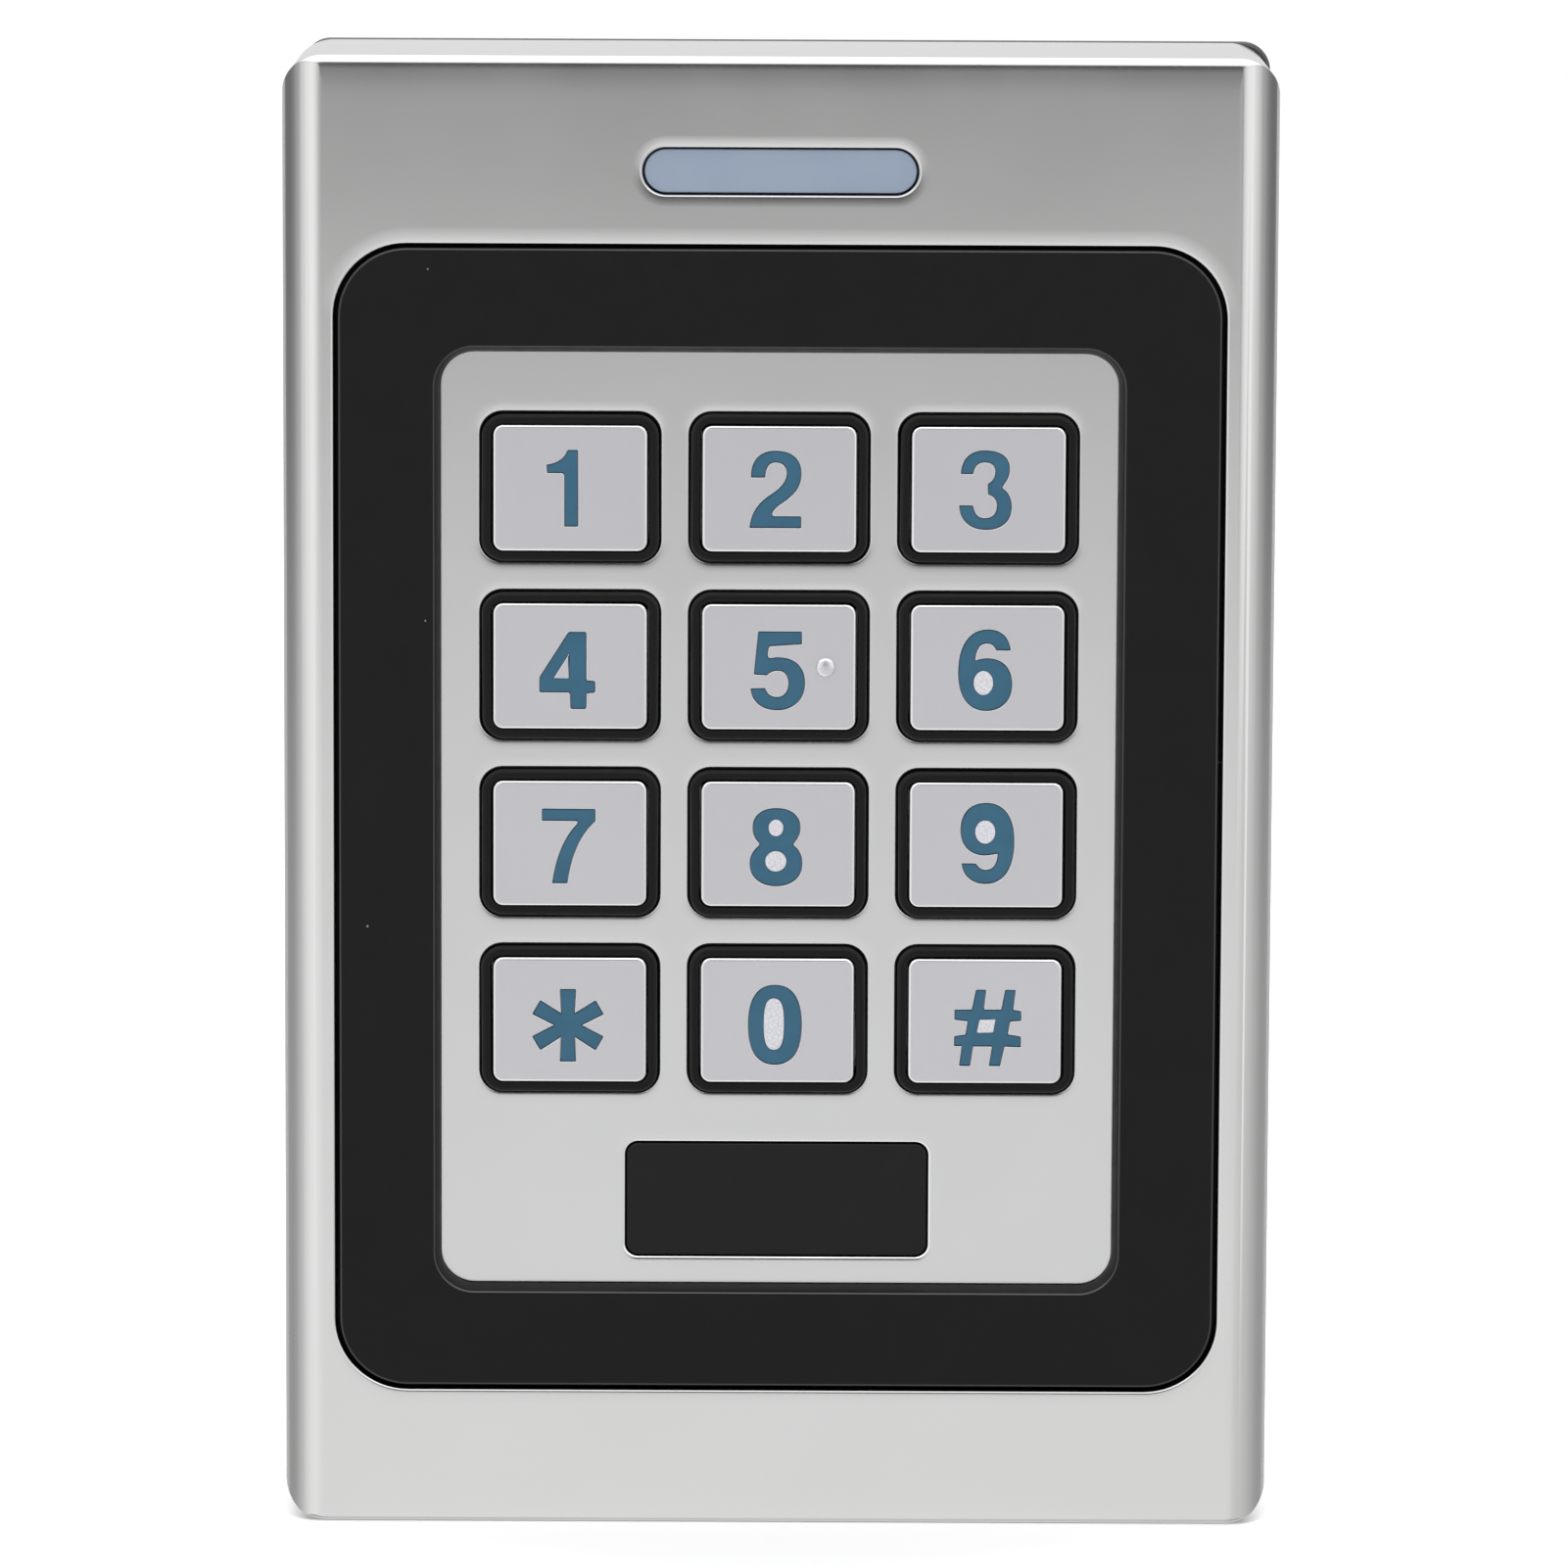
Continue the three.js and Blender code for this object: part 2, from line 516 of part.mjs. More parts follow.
function antennaCoil() {
  const outer = roundedRect(COIL.width, COIL.height, COIL.corner, 0, BEZEL.z);
  const inner = roundedRect(
    COIL.width - 2 * COIL.band,
    COIL.height - 2 * COIL.band,
    COIL.corner - COIL.band,
    0,
    BEZEL.z,
  );
  return cut(slab(outer, COIL.front, COIL.back), [slab(inner, COIL.front - 1, COIL.back + 1)]);
}

const SOLDER_SIDE = PCB.front - GAP;
const PARTS_SIDE = PCB.back + GAP;

const LED = { width: 3.4, height: 2.8, x: 6, front: 4.6 };
const TAMPER = { x: -20, z: -20, radius: 2.4 };

// Parts on the keypad side of the board face the front; the rest face the rear cover.
const KEYPAD_SIDE_PARTS = [
  { name: 'status_led_left', outline: box(LED.width, LED.height, -LED.x, LED_SLOT.z), front: LED.front },
  { name: 'status_led_right', outline: box(LED.width, LED.height, LED.x, LED_SLOT.z), front: LED.front },
  { name: 'proximity_sensor', outline: box(8, 5, 0, WINDOW.z), front: 4.9 },
];
const REAR_SIDE_PARTS = [
  { name: 'buzzer', outline: disc(6, -17, 24), back: 15, finish: FINISH.component },
  { name: 'relay', outline: box(15, 19, 17, 20), back: 15.4, finish: FINISH.relayCase },
  { name: 'mcu_chip', outline: box(10, 10, 0, 2), back: 10.8, finish: FINISH.component },
  { name: 'wiring_connector', outline: box(26, 7, 0, -12), back: 14.5, finish: FINISH.connector },
  {
    name: 'tamper_sensor',
    outline: disc(TAMPER.radius, TAMPER.x, TAMPER.z),
    back: 14.8,
    finish: FINISH.frosted,
  },
];

function addElectronics() {
  addPart('dome_sheet', domeSheet(), FINISH.polyester);
  addPart('main_pcb', mainBoard(), FINISH.circuitBoard);
  addPart('antenna_coil', antennaCoil(), FINISH.copper);
  for (const { name, outline, front } of KEYPAD_SIDE_PARTS) {
    addPart(name, slab(outline, front, SOLDER_SIDE), FINISH.component);
  }
  for (const { name, outline, back, finish } of REAR_SIDE_PARTS) {
    addPart(name, slab(outline, PARTS_SIDE, back), finish);
  }
}

// ---------------------------------------------------------------------------------------
// Back: inner cover, gasket, cable grommet, wall plate and the screws.

const LOCK_LUG = { width: 10, bottom: -57.2, top: -51.6, front: 13.4 };
const LOCK_NOTCH = { width: 14, top: -50.6 };
const GASKET = { front: 18.1, back: 19.4, outer: { width: 73.6, height: 113.6 }, band: 2.4 };

function lockNotch(front, back) {
  const bottom = -HEIGHT / 2;
  const height = LOCK_NOTCH.top - bottom;
  return slab(box(LOCK_NOTCH.width, height, 0, bottom + height / 2), front, back);
}

function hookOutlines(width, bottom, top) {
  return [-1, 1].map((side) => box(width, top - bottom, side * HOOK.x, (bottom + top) / 2));
}

function rearCover() {
  const clearance = 0.4;
  const sheet = roundedRect(
    WIDTH - 2 * SHELL.wall - 2 * clearance,
    HEIGHT - 2 * SHELL.wall - 2 * clearance,
    0.9,
  );
  const hookSlots = hookOutlines(HOOK.width + 1, HOOK.z - 1.6, HOOK.z + 4).map(
    (outline) => slab(outline, COVER.front - 1, COVER.back + 1),
  );
  return cut(slab(sheet, COVER.front, COVER.back), [
    ...coverBosses(COVER_SCREW.shank + GAP, COVER.front - 1, COVER.back + 1),
    ...coverBosses(COVER_SCREW.head + GAP, COVER.back - 1.1, COVER.back + 1),
    ...hookSlots,
    slab(disc(INLET.neck + GAP, 0, INLET.z), COVER.front - 1, COVER.back + 1),
    slab(disc(TAMPER.radius + GAP, TAMPER.x, TAMPER.z), COVER.front - 1, COVER.back + 1),
    lockNotch(COVER.front - 1, COVER.back + 1),
  ]);
}

function rearGasket() {
  const { outer, band } = GASKET;
  const ring = cut(slab(roundedRect(outer.width, outer.height, 1.5), GASKET.front, GASKET.back), [
    slab(roundedRect(outer.width - 2 * band, outer.height - 2 * band, 1), GASKET.front - 1, GASKET.back + 1),
  ]);
  return cut(ring, [lockNotch(GASKET.front - 1, GASKET.back + 1)]);
}

function cableGrommet() {
  const frontFlange = slab(disc(INLET.flange, 0, INLET.z), COVER.front - GAP - 1, COVER.front - GAP);
  const neck = slab(disc(INLET.neck, 0, INLET.z), COVER.front - GAP - 0.5, COVER.back + GAP + 0.5);
  const backFlange = slab(disc(INLET.flange, 0, INLET.z), COVER.back + GAP, COVER.back + GAP + 1);
  return cut(joined([frontFlange, neck, backFlange]), [
    slab(disc(INLET.bore, 0, INLET.z), COVER.front - 3, COVER.back + 3),
  ]);
}

const WALL_HOLE = { x: 22, z: 40, radius: 2.2, headRadius: 4.2, headDepth: 1.1 };
const CABLE_PASS = { width: 28, height: 19 };

function wallHoles(radius, front, back) {
  const places = [[1, 1], [-1, 1], [-1, -1], [1, -1]];
  return places.map(([i, k]) => slab(disc(radius, i * WALL_HOLE.x, k * WALL_HOLE.z), front, back));
}

function wallPlate() {
  const sheet = roundedRect(
    WIDTH - 2 * WALL_PLATE.inset,
    HEIGHT - 2 * WALL_PLATE.inset,
    WALL_PLATE.corner,
  );
  const into = WALL_PLATE.front + 0.2;
  const lipFront = COVER.front - GAP - 1.5;
  const shanks = hookOutlines(HOOK.width, HOOK.z - HOOK.thick / 2, HOOK.z + HOOK.thick / 2).map(
    (outline) => slab(outline, lipFront, into),
  );
  const lips = hookOutlines(HOOK.width, HOOK.z - HOOK.thick / 2, HOOK.z + 3.2).map(
    (outline) => slab(outline, lipFront, COVER.front - GAP),
  );
  const lugHeight = LOCK_LUG.top - LOCK_LUG.bottom;
  const lug = slab(
    box(LOCK_LUG.width, lugHeight, 0, LOCK_LUG.bottom + lugHeight / 2),
    LOCK_LUG.front,
    into,
  );
  const cablePass = roundedRect(CABLE_PASS.width, CABLE_PASS.height, 3, 0, INLET.z);
  return cut(joined([slab(sheet, WALL_PLATE.front, DEPTH), ...shanks, ...lips, lug]), [
    slab(cablePass, WALL_PLATE.front - 1, DEPTH + 1),
    ...wallHoles(WALL_HOLE.radius, WALL_PLATE.front - 1, DEPTH + 1),
    ...wallHoles(WALL_HOLE.headRadius, WALL_PLATE.front - 1, WALL_PLATE.front + WALL_HOLE.headDepth),
    lockScrewPin(LOCK_SCREW.shank + GAP, LOCK_LUG.bottom - 1, LOCK_LUG.top + 1),
  ]);
}

function lockScrew() {
  const bottom = -HEIGHT / 2;
  return lockScrewPin(LOCK_SCREW.head, bottom, bottom + LOCK_SCREW.headThick)
    .add(lockScrewPin(LOCK_SCREW.shank, bottom + 1, LOCK_LUG.top + 0.4));
}

function boredScrew({ head, shank }, x, z, tip, headFront, headBack) {
  return slab(disc(shank, x, z), tip, headFront + 0.1).add(slab(disc(head, x, z), headFront, headBack));
}

function addScrews() {
  const corners = { top_left: [-1, 1], top_right: [1, 1], bottom_left: [-1, -1], bottom_right: [1, -1] };
  for (const [corner, [i, k]] of Object.entries(corners)) {
    const coverScrew = boredScrew(
      COVER_SCREW,
      i * COVER_SCREW.x,
      k * COVER_SCREW.z,
      10,
      COVER.back - 0.8,
      COVER.back,
    );
    const postZ = k > 0 ? PCB_SCREW.topZ : PCB_SCREW.bottomZ;
    const pcbScrew = boredScrew(PCB_SCREW, i * PCB_SCREW.x, postZ, 4.6, PARTS_SIDE, PARTS_SIDE + 1.2);
    addPart(`cover_screw_${corner}`, coverScrew, FINISH.steel);
    addPart(`pcb_screw_${corner}`, pcbScrew, FINISH.steel);
  }
  addPart('lock_screw', lockScrew(), FINISH.steel);
}

addPart('front_shell', frontShell(), FINISH.satinNickel);
addPart('bezel_frame', bezelFrame(), FINISH.blackPlastic);
addPart('keypad_plate', keypadPlate(), FINISH.brushedPlate);
addPart('keymat', keyMat(), FINISH.silicone);
addKeys();
addPart('sensor_window', sensorWindow(), FINISH.smokedPlastic);
addPart('led_lens', statusLens(), FINISH.frosted);
addElectronics();
addPart('rear_cover', rearCover(), FINISH.blackPlastic);
addPart('rear_gasket', rearGasket(), FINISH.foam);
addPart('cable_grommet', cableGrommet(), FINISH.silicone);
addPart('wall_plate', wallPlate(), FINISH.blackPlastic);
addScrews();

export default reader;
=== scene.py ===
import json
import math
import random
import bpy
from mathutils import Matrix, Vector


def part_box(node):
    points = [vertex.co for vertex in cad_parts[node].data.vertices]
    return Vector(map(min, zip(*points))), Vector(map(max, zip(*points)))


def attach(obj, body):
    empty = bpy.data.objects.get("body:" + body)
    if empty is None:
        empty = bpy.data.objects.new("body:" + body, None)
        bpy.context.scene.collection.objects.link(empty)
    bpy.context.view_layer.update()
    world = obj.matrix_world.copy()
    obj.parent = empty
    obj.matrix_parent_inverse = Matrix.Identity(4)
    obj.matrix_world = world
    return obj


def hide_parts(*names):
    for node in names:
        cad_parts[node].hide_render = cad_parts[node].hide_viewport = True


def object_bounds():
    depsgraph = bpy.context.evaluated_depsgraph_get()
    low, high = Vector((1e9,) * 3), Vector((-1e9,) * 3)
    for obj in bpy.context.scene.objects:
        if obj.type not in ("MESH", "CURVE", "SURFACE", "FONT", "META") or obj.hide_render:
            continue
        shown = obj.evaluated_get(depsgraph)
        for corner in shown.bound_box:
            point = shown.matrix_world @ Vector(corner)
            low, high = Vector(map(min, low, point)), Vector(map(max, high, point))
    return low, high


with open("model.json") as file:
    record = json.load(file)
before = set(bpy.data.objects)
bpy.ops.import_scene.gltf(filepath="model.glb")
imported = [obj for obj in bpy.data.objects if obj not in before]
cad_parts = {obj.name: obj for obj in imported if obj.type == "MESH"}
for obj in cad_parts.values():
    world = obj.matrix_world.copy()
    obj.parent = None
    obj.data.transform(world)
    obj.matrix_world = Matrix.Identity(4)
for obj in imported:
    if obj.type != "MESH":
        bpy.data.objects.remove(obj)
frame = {"nodes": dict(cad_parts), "record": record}

# Keypad access reader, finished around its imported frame.
#
# Shapes below are written in millimetres: x to the right, z up, and "depth" as the distance
# behind the front of the reader. Meshes are converted to metres as they are made.

from types import SimpleNamespace

import bmesh
import bpy
from mathutils import Matrix, Vector
from mathutils.geometry import tessellate_polygon

CAD_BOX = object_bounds()
MM = 0.001
FRONT_Y = CAD_BOX[0].y
BODY = "housing"
RANDOM_SEED = 17

# ------------------------------------------------------------------------------------
# Sizes


def node_span(node):
    """Centre, size and depths of a CAD node, in millimetres."""
    low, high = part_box(node)
    return SimpleNamespace(
        x=(low.x + high.x) / 2 / MM,
        z=(low.z + high.z) / 2 / MM,
        width=(high.x - low.x) / MM,
        height=(high.z - low.z) / MM,
        front=(low.y - FRONT_Y) / MM,
        back=(high.y - FRONT_Y) / MM,
        bottom=low.z / MM,
        top=high.z / MM,
    )


SHELL = node_span("front_shell")
BEZEL_NODE = node_span("bezel_frame")
PLATE = node_span("keypad_plate")
MAT = node_span("keymat")
WINDOW_NODE = node_span("sensor_window")
LENS_NODE = node_span("led_lens")
WALL = node_span("wall_plate")
LOCK = node_span("lock_screw")
INLET = node_span("cable_grommet")

SIDE_ROUND = 3.5
END_ROUND = 0.85
SHELL_CORNER = 3.4
SHELL_WALL = 2.4
CAVITY_CORNER = 1.2
HOLE_ROUND = 0.22

BEZEL = SimpleNamespace(width=71.3, height=93.2, corner=5.6, gap=0.3)
OPENING = SimpleNamespace(width=54.7, height=76.4, corner=2.7)
PLATE_CORNER = 2.6
MAT_CORNER = 2
KEY = SimpleNamespace(width=12.55, height=10.3, corner=0.85, rim=0.26, overhang=0.65, flange=0.8)
KEY_HOLE = SimpleNamespace(width=14.46, height=12.1, corner=1.75)
RECESS = SimpleNamespace(depth=0.6, gap=0.02, rim=0.04)
FIGURE = SimpleNamespace(sunk=0.1, floor=0.58, inset=0.045, rim=0.04, counter_rim=0.05)
ISLAND = SimpleNamespace(sunk=0.03, inset=0.015, rim=0.05)
NUB = SimpleNamespace(x=3.8, radius=0.8, height=0.3)
LENS = SimpleNamespace(width=21.9, height=3.5, gap=0.15)
PANE = SimpleNamespace(width=24.6, height=9.4, corner=1.0, gap=0.1)
WALL_HOLES = SimpleNamespace(x=22.0, z=40.0, radius=2.2)
BRACKET = SimpleNamespace(play=0.7, margin=0.02, corner=2.2, gap=0.3)
CABLE_PASS = SimpleNamespace(width=28, height=19, corner=3)
POCKETS = SimpleNamespace(x=22, width=20, corner=2.5, rows=((17.5, 24), (-10.5, 16)))
GROOVES = SimpleNamespace(width=34, height=3, rows=(51.5, -53.5))
SOCKET = SimpleNamespace(radius=1.15, depth=0.8)

KEY_LABELS = ["1", "2", "3", "4", "5", "6", "7", "8", "9", "star", "0", "hash"]

# ------------------------------------------------------------------------------------
# Outlines. Each is a function that gives a closed loop of (x, z) points, inset by so much.


def rounded(width, height, corner, x=0.0, z=0.0, steps=10, least=0.02):
    """A rectangle with round corners, which tighten with the inset down to the least radius."""

    def outline(inset):
        half_width = width / 2 - inset
        half_height = height / 2 - inset
        radius = min(max(corner - inset, least), half_width, half_height)
        points = []
        for quadrant, (side, end) in enumerate(((1, 1), (-1, 1), (-1, -1), (1, -1))):
            cx = x + side * (half_width - radius)
            cz = z + end * (half_height - radius)
            for i in range(steps + 1):
                angle = (quadrant + i / steps) * math.pi / 2
                points.append((cx + radius * math.cos(angle), cz + radius * math.sin(angle)))
        return points

    return outline


def with_stops(outline, margins=(0.4, 1.2), longest=4.0):
    """The same outline with extra points near the ends of its long runs, so that what happens at
    a corner doesn't shade the whole run."""

    def stopped(inset):
        points = outline(inset)
        result = []
        for here, after in zip(points, points[1:] + points[:1]):
            result.append(here)
            length = math.dist(here, after)
            if length < longest:
                continue
            for stop in (*margins, *(length - m for m in reversed(margins))):
                share = stop / length
                result.append(tuple(a + (b - a) * share for a, b in zip(here, after)))
        return result

    return stopped


def disc(radius, x=0.0, z=0.0, steps=10):
    return rounded(2 * radius, 2 * radius, radius, x, z, steps)


def wavy(outline, amplitude, seed):
    """The same outline with a slow uneven edge, as moulded rubber has."""
    rng = random.Random(seed)
    waves = [(k, rng.uniform(0, math.tau), rng.uniform(0.4, 1.0)) for k in (3, 5, 8, 13)]

    def uneven(inset):
        points = outline(inset)
        cx = sum(p[0] for p in points) / len(points)
        cz = sum(p[1] for p in points) / len(points)
        moved = []
        for px, pz in points:
            angle = math.atan2(pz - cz, px - cx)
            push = sum(size * math.sin(k * angle + phase) for k, phase, size in waves)
            reach = math.hypot(px - cx, pz - cz)
            scale = 1 + amplitude * push / reach
            moved.append((cx + (px - cx) * scale, cz + (pz - cz) * scale))
        return moved

    return uneven


def signed_area(points):
    pairs = zip(points, points[1:] + points[:1])
    return sum(ax * bz - bx * az for (ax, az), (bx, bz) in pairs) / 2


def is_convex(points):
    corners = zip(points[-1:] + points[:-1], points, points[1:] + points[:1])
    return all(
        (b[0] - a[0]) * (c[1] - b[1]) - (b[1] - a[1]) * (c[0] - b[0]) > -1e-9 for a, b, c in corners
    )


def drawn(points, x=0.0, z=0.0):
    """An outline from drawn points, inset by moving each corner along its mitre."""
    loop = list(points) if signed_area(points) > 0 else list(reversed(points))

    def outline(inset):
        result = []
        for before, here, after in zip(loop[-1:] + loop[:-1], loop, loop[1:] + loop[:1]):
            n1 = left_normal(before, here)
            n2 = left_normal(here, after)
            spread = max(1 + n1[0] * n2[0] + n1[1] * n2[1], 0.5)
            dx = (n1[0] + n2[0]) / spread * inset
            dz = (n1[1] + n2[1]) / spread * inset
            result.append((x + here[0] + dx, z + here[1] + dz))
        return result

    return outline


def left_normal(a, b):
    dx, dz = b[0] - a[0], b[1] - a[1]
    length = math.hypot(dx, dz)
    return -dz / length, dx / length


# ------------------------------------------------------------------------------------
# Profiles: lists of (inset, depth) steps that an outline is swept through.


def rounded_edge(radius, face, steps=6):
    """A quarter round from the side of a piece onto its front face."""
    return [
        (radius * (1 - math.cos(a)), face + radius * (1 - math.sin(a)))
        for a in (math.pi / 2 * i / steps for i in range(steps + 1))
    ]


def eased_edge(radius, face, reach, drop, steps=6):
    """A quarter round that runs out in a faint hollow before the flat of the face."""
    run_out = []
    for i in range(1, steps + 1):
        left = 1 - i / steps
        run_out.append((radius + reach * i / steps, face + drop * left**3))
    return rounded_edge(radius, face + drop, steps) + run_out


def opened(profile):
    """The same profile turned outwards, for the edge of a hole."""
    return [(-inset, depth) for inset, depth in profile]


def shifted(profile, by):
    """The same profile, inset by a little more."""
    return [(inset + by, depth) for inset, depth in profile]


# ------------------------------------------------------------------------------------
# Meshes


def face_on(x, depth, z):
    return x * MM, FRONT_Y + depth * MM, z * MM


def from_below(x, depth, z):
    """Sweeps along the height: the outline's own z is a depth, and the profile's depth a height."""
    return x * MM, FRONT_Y + z * MM, depth * MM


def sweep(loops, pockets=(), place=face_on):
    """A closed mesh. A loop is an outline with its profile. The first is the outside, the rest are
    holes that run right through, and a pocket starts at a floor of its own."""
    bm = bmesh.new()
    starts, ends = [], []

    def add_walls(outline, profile):
        flat = [outline(inset) for inset, _ in profile]
        rings = [
            [bm.verts.new(place(x, depth, z)) for x, z in points]
            for points, (_, depth) in zip(flat, profile)
        ]
        for low, high in zip(rings, rings[1:]):
            for i in range(len(low)):
                j = (i + 1) % len(low)
                bm.faces.new((low[i], low[j], high[j], high[i])).smooth = True
        return (flat[0], rings[0]), (flat[-1], rings[-1])

    def fill(polished_rim_highlight):
        """Closes an end. One face keeps a plain convex rim evenly shaded, others take triangles."""
        if len(polished_rim_highlight) == 1 and is_convex(polished_rim_highlight[0][0]):
            bm.faces.new(polished_rim_highlight[0][1])
            return
        corners = [vert for _, ring in polished_rim_highlight for vert in ring]
        flat = [[Vector((x, z, 0)) for x, z in points] for points, _ in polished_rim_highlight]
        for triangle in tessellate_polygon(flat):
            bm.faces.new([corners[i] for i in triangle])

    for outline, profile in loops:
        start, end = add_walls(outline, profile)
        starts.append(start)
        ends.append(end)
    for outline, profile in pockets:
        floor, rim = add_walls(outline, profile)
        fill([floor])
        ends.append(rim)
    fill(starts)
    fill(ends)
    bmesh.ops.remove_doubles(bm, verts=bm.verts, dist=1e-7)
    bmesh.ops.dissolve_degenerate(bm, edges=bm.edges, dist=1e-8)
    bmesh.ops.recalc_face_normals(bm, faces=bm.faces)
    if bm.calc_volume(signed=True) < 0:
        bmesh.ops.reverse_faces(bm, faces=bm.faces)
    return bm


def as_object(name, bm):
    mesh = bpy.data.meshes.new(name)
    bm.to_mesh(mesh)
    bm.free()
    obj = bpy.data.objects.new(name, mesh)
    bpy.context.scene.collection.objects.link(obj)
    return obj


def combine(base, tools, operation):
    """Cuts, joins or intersects an object with others, which are used up."""
    for tool in tools:
        modifier = base.modifiers.new("combine", "BOOLEAN")
        modifier.operation = operation
        modifier.solver = "EXACT"
        modifier.object = tool
    graph = bpy.context.evaluated_depsgraph_get()
    solid = bpy.data.meshes.new_from_object(base.evaluated_get(graph))
    base.modifiers.clear()
    base.data = solid
    for tool in tools:
        bpy.data.objects.remove(tool)
    return base


def crease(mesh, degrees=32):
    """Crisp creases where a smooth wall turns sharply. Flat ends stay flat."""
    smooth = [polygon.use_smooth for polygon in mesh.polygons]
    mesh.set_sharp_from_angle(angle=math.radians(degrees))
    mesh.polygons.foreach_set("use_smooth", smooth)


def place_piece(obj, body, material, nodes=()):
    obj.data.materials.clear()
    obj.data.materials.append(material)
    crease(obj.data)
    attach(obj, body)
    if nodes:
        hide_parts(*nodes)


# ------------------------------------------------------------------------------------
# Materials


class Nodes:
    """A small helper that wires one Principled material."""

    def __init__(self, name):
        self.material = bpy.data.materials.new(name)
        self.material.use_nodes = True
        self.tree = self.material.node_tree
        self.shader = self.tree.nodes["Principled BSDF"]
        self.place = self.tree.nodes.new("ShaderNodeTexCoord").outputs["Object"]

    def set(self, **values):
        for socket, value in values.items():
            self.shader.inputs[socket.replace("_", " ")].default_value = value

    def link(self, output, socket):
        self.tree.links.new(output, self.shader.inputs[socket])

    def node(self, kind, inputs=(), **settings):
        node = self.tree.nodes.new(kind)
        for key, value in settings.items():
            setattr(node, key, value)
        for socket, value in dict(inputs).items():
            if isinstance(value, bpy.types.NodeSocket):
                self.tree.links.new(value, node.inputs[socket])
            else:
                node.inputs[socket].default_value = value
        return node

    def stretched(self, scale):
        mapping = self.node("ShaderNodeMapping", {"Vector": self.place, "Scale": scale})
        return mapping.outputs["Vector"]

    def noise(self, scale, detail=3.0, place=None, roughness=0.5):
        inputs = {
            "Vector": place or self.place,
            "Scale": scale,
            "Detail": detail,
            "Roughness": roughness,
        }
        return self.node("ShaderNodeTexNoise", inputs).outputs["Fac"]

    def ramp(self, value, low, high, out_low, out_high):
        inputs = {
            "Value": value,
            "From Min": low,
            "From Max": high,
            "To Min": out_low,
            "To Max": out_high,
        }
        return self.node("ShaderNodeMapRange", inputs).outputs["Result"]

    def blend(self, factor, low, high):
        node = self.tree.nodes.new("ShaderNodeMix")
        node.data_type = "RGBA"
        for socket, value in (("Factor_Float", factor), ("A_Color", low), ("B_Color", high)):
            target = next(i for i in node.inputs if i.identifier == socket)
            if isinstance(value, bpy.types.NodeSocket):
                self.tree.links.new(value, target)
            else:
                target.default_value = (*value, 1) if len(value) == 3 else value
        return next(o for o in node.outputs if o.identifier == "Result_Color")

    def math(self, operation, a, b):
        return self.node("ShaderNodeMath", {0: a, 1: b}, operation=operation).outputs[0]

    def specks(self, scale, radius, share):
        """One where a small dot lies, over so large a share of the cells."""
        cells = self.node("ShaderNodeTexVoronoi", {"Vector": self.place, "Scale": scale})
        dot = self.math("LESS_THAN", cells.outputs["Distance"], radius)
        chance = self.node("ShaderNodeSeparateColor", {"Color": cells.outputs["Color"]})
        kept = self.math("LESS_THAN", chance.outputs["Red"], share)
        return self.math("MULTIPLY", dot, kept)

    def facing(self):
        """How squarely the surface faces the front, from the cosine of its tilt."""
        normal = self.tree.nodes.new("ShaderNodeNewGeometry").outputs["Normal"]
        across = self.node("ShaderNodeSeparateXYZ", {"Vector": normal}).outputs["Y"]
        return self.math("MULTIPLY", across, -1)

    def bevel_mask(self, steep, level):
        """One where the surface turns away from the front, nought on the flat of the face."""
        return self.ramp(self.facing(), steep, level, 1, 0)

    def bump(self, height, distance, strength=1.0):
        inputs = {"Height": height, "Distance": distance, "Strength": strength}
        return self.node("ShaderNodeBump", inputs).outputs["Normal"]


def satin_metal(name, tone, roughness, rim_polish_and_highlight=0.0):
    """Cast metal with a satin plated finish: faint clouding, a few soft smudges, and rims that are
    polished and also lightened as a painted highlight.
    """
    m = Nodes(name)
    m.set(Metallic=1.0)
    low = tuple(0.985 * c for c in tone)
    high = tuple(1.015 * c for c in tone)
    clouds = m.blend(m.ramp(m.noise(60, detail=1.0), 0.2, 0.8, 0, 1), low, high)
    smudges = m.math("MULTIPLY", m.specks(60, 0.045, 0.2), 0.25)
    # Painted highlight: where the surface turns from the front, the base colour is lightened
    # towards pale silver and made smoother, partly as real polish and partly to paint the bright
    # edge lines.
    polished_rim_highlight = m.math("MULTIPLY", m.bevel_mask(0.86, 0.97), rim_polish_and_highlight)
    satin = m.blend(smudges, clouds, tuple(0.7 * c for c in tone))
    m.link(m.blend(polished_rim_highlight, satin, (0.9, 0.9, 0.9)), "Base Color")
    wear = m.ramp(m.noise(130, detail=1.0), 0.1, 0.9, roughness - 0.012, roughness + 0.012)
    m.link(m.math("SUBTRACT", wear, m.math("MULTIPLY", polished_rim_highlight, 0.08)), "Roughness")
    m.link(m.bump(m.noise(55, detail=2.0), 0.000006, 1.0), "Normal")
    return m.material


def moulded_black(name, tone, rough_low, rough_high, grain_scale, grain, edge_shine=0.9, dust=True):
    """Black plastic or rubber with a fine moulded grain, worn shinier on its edges, and the odd
    pale speck of dust."""
    m = Nodes(name)
    edges = m.math("MULTIPLY", m.bevel_mask(0.88, 0.97), m.ramp(m.facing(), 0.5, 0.7, 0, 1))
    m.link(m.ramp(edges, 0, 1, 0.12, edge_shine), "Specular IOR Level")
    shade_noise = m.noise(260, detail=3.0)
    low = tuple(0.88 * c for c in tone)
    high = tuple(1.12 * c for c in tone)
    base = m.blend(shade_noise, low, high)
    if dust:
        base = m.blend(m.math("MULTIPLY", m.specks(420, 0.05, 0.1), 0.5), base, (0.3, 0.3, 0.3))
    m.link(base, "Base Color")
    m.link(m.ramp(m.noise(700, detail=2.0), 0.3, 0.7, rough_low, rough_high), "Roughness")
    m.link(m.bump(m.noise(grain_scale, detail=2.0), grain, 0.7), "Normal")
    return m.material


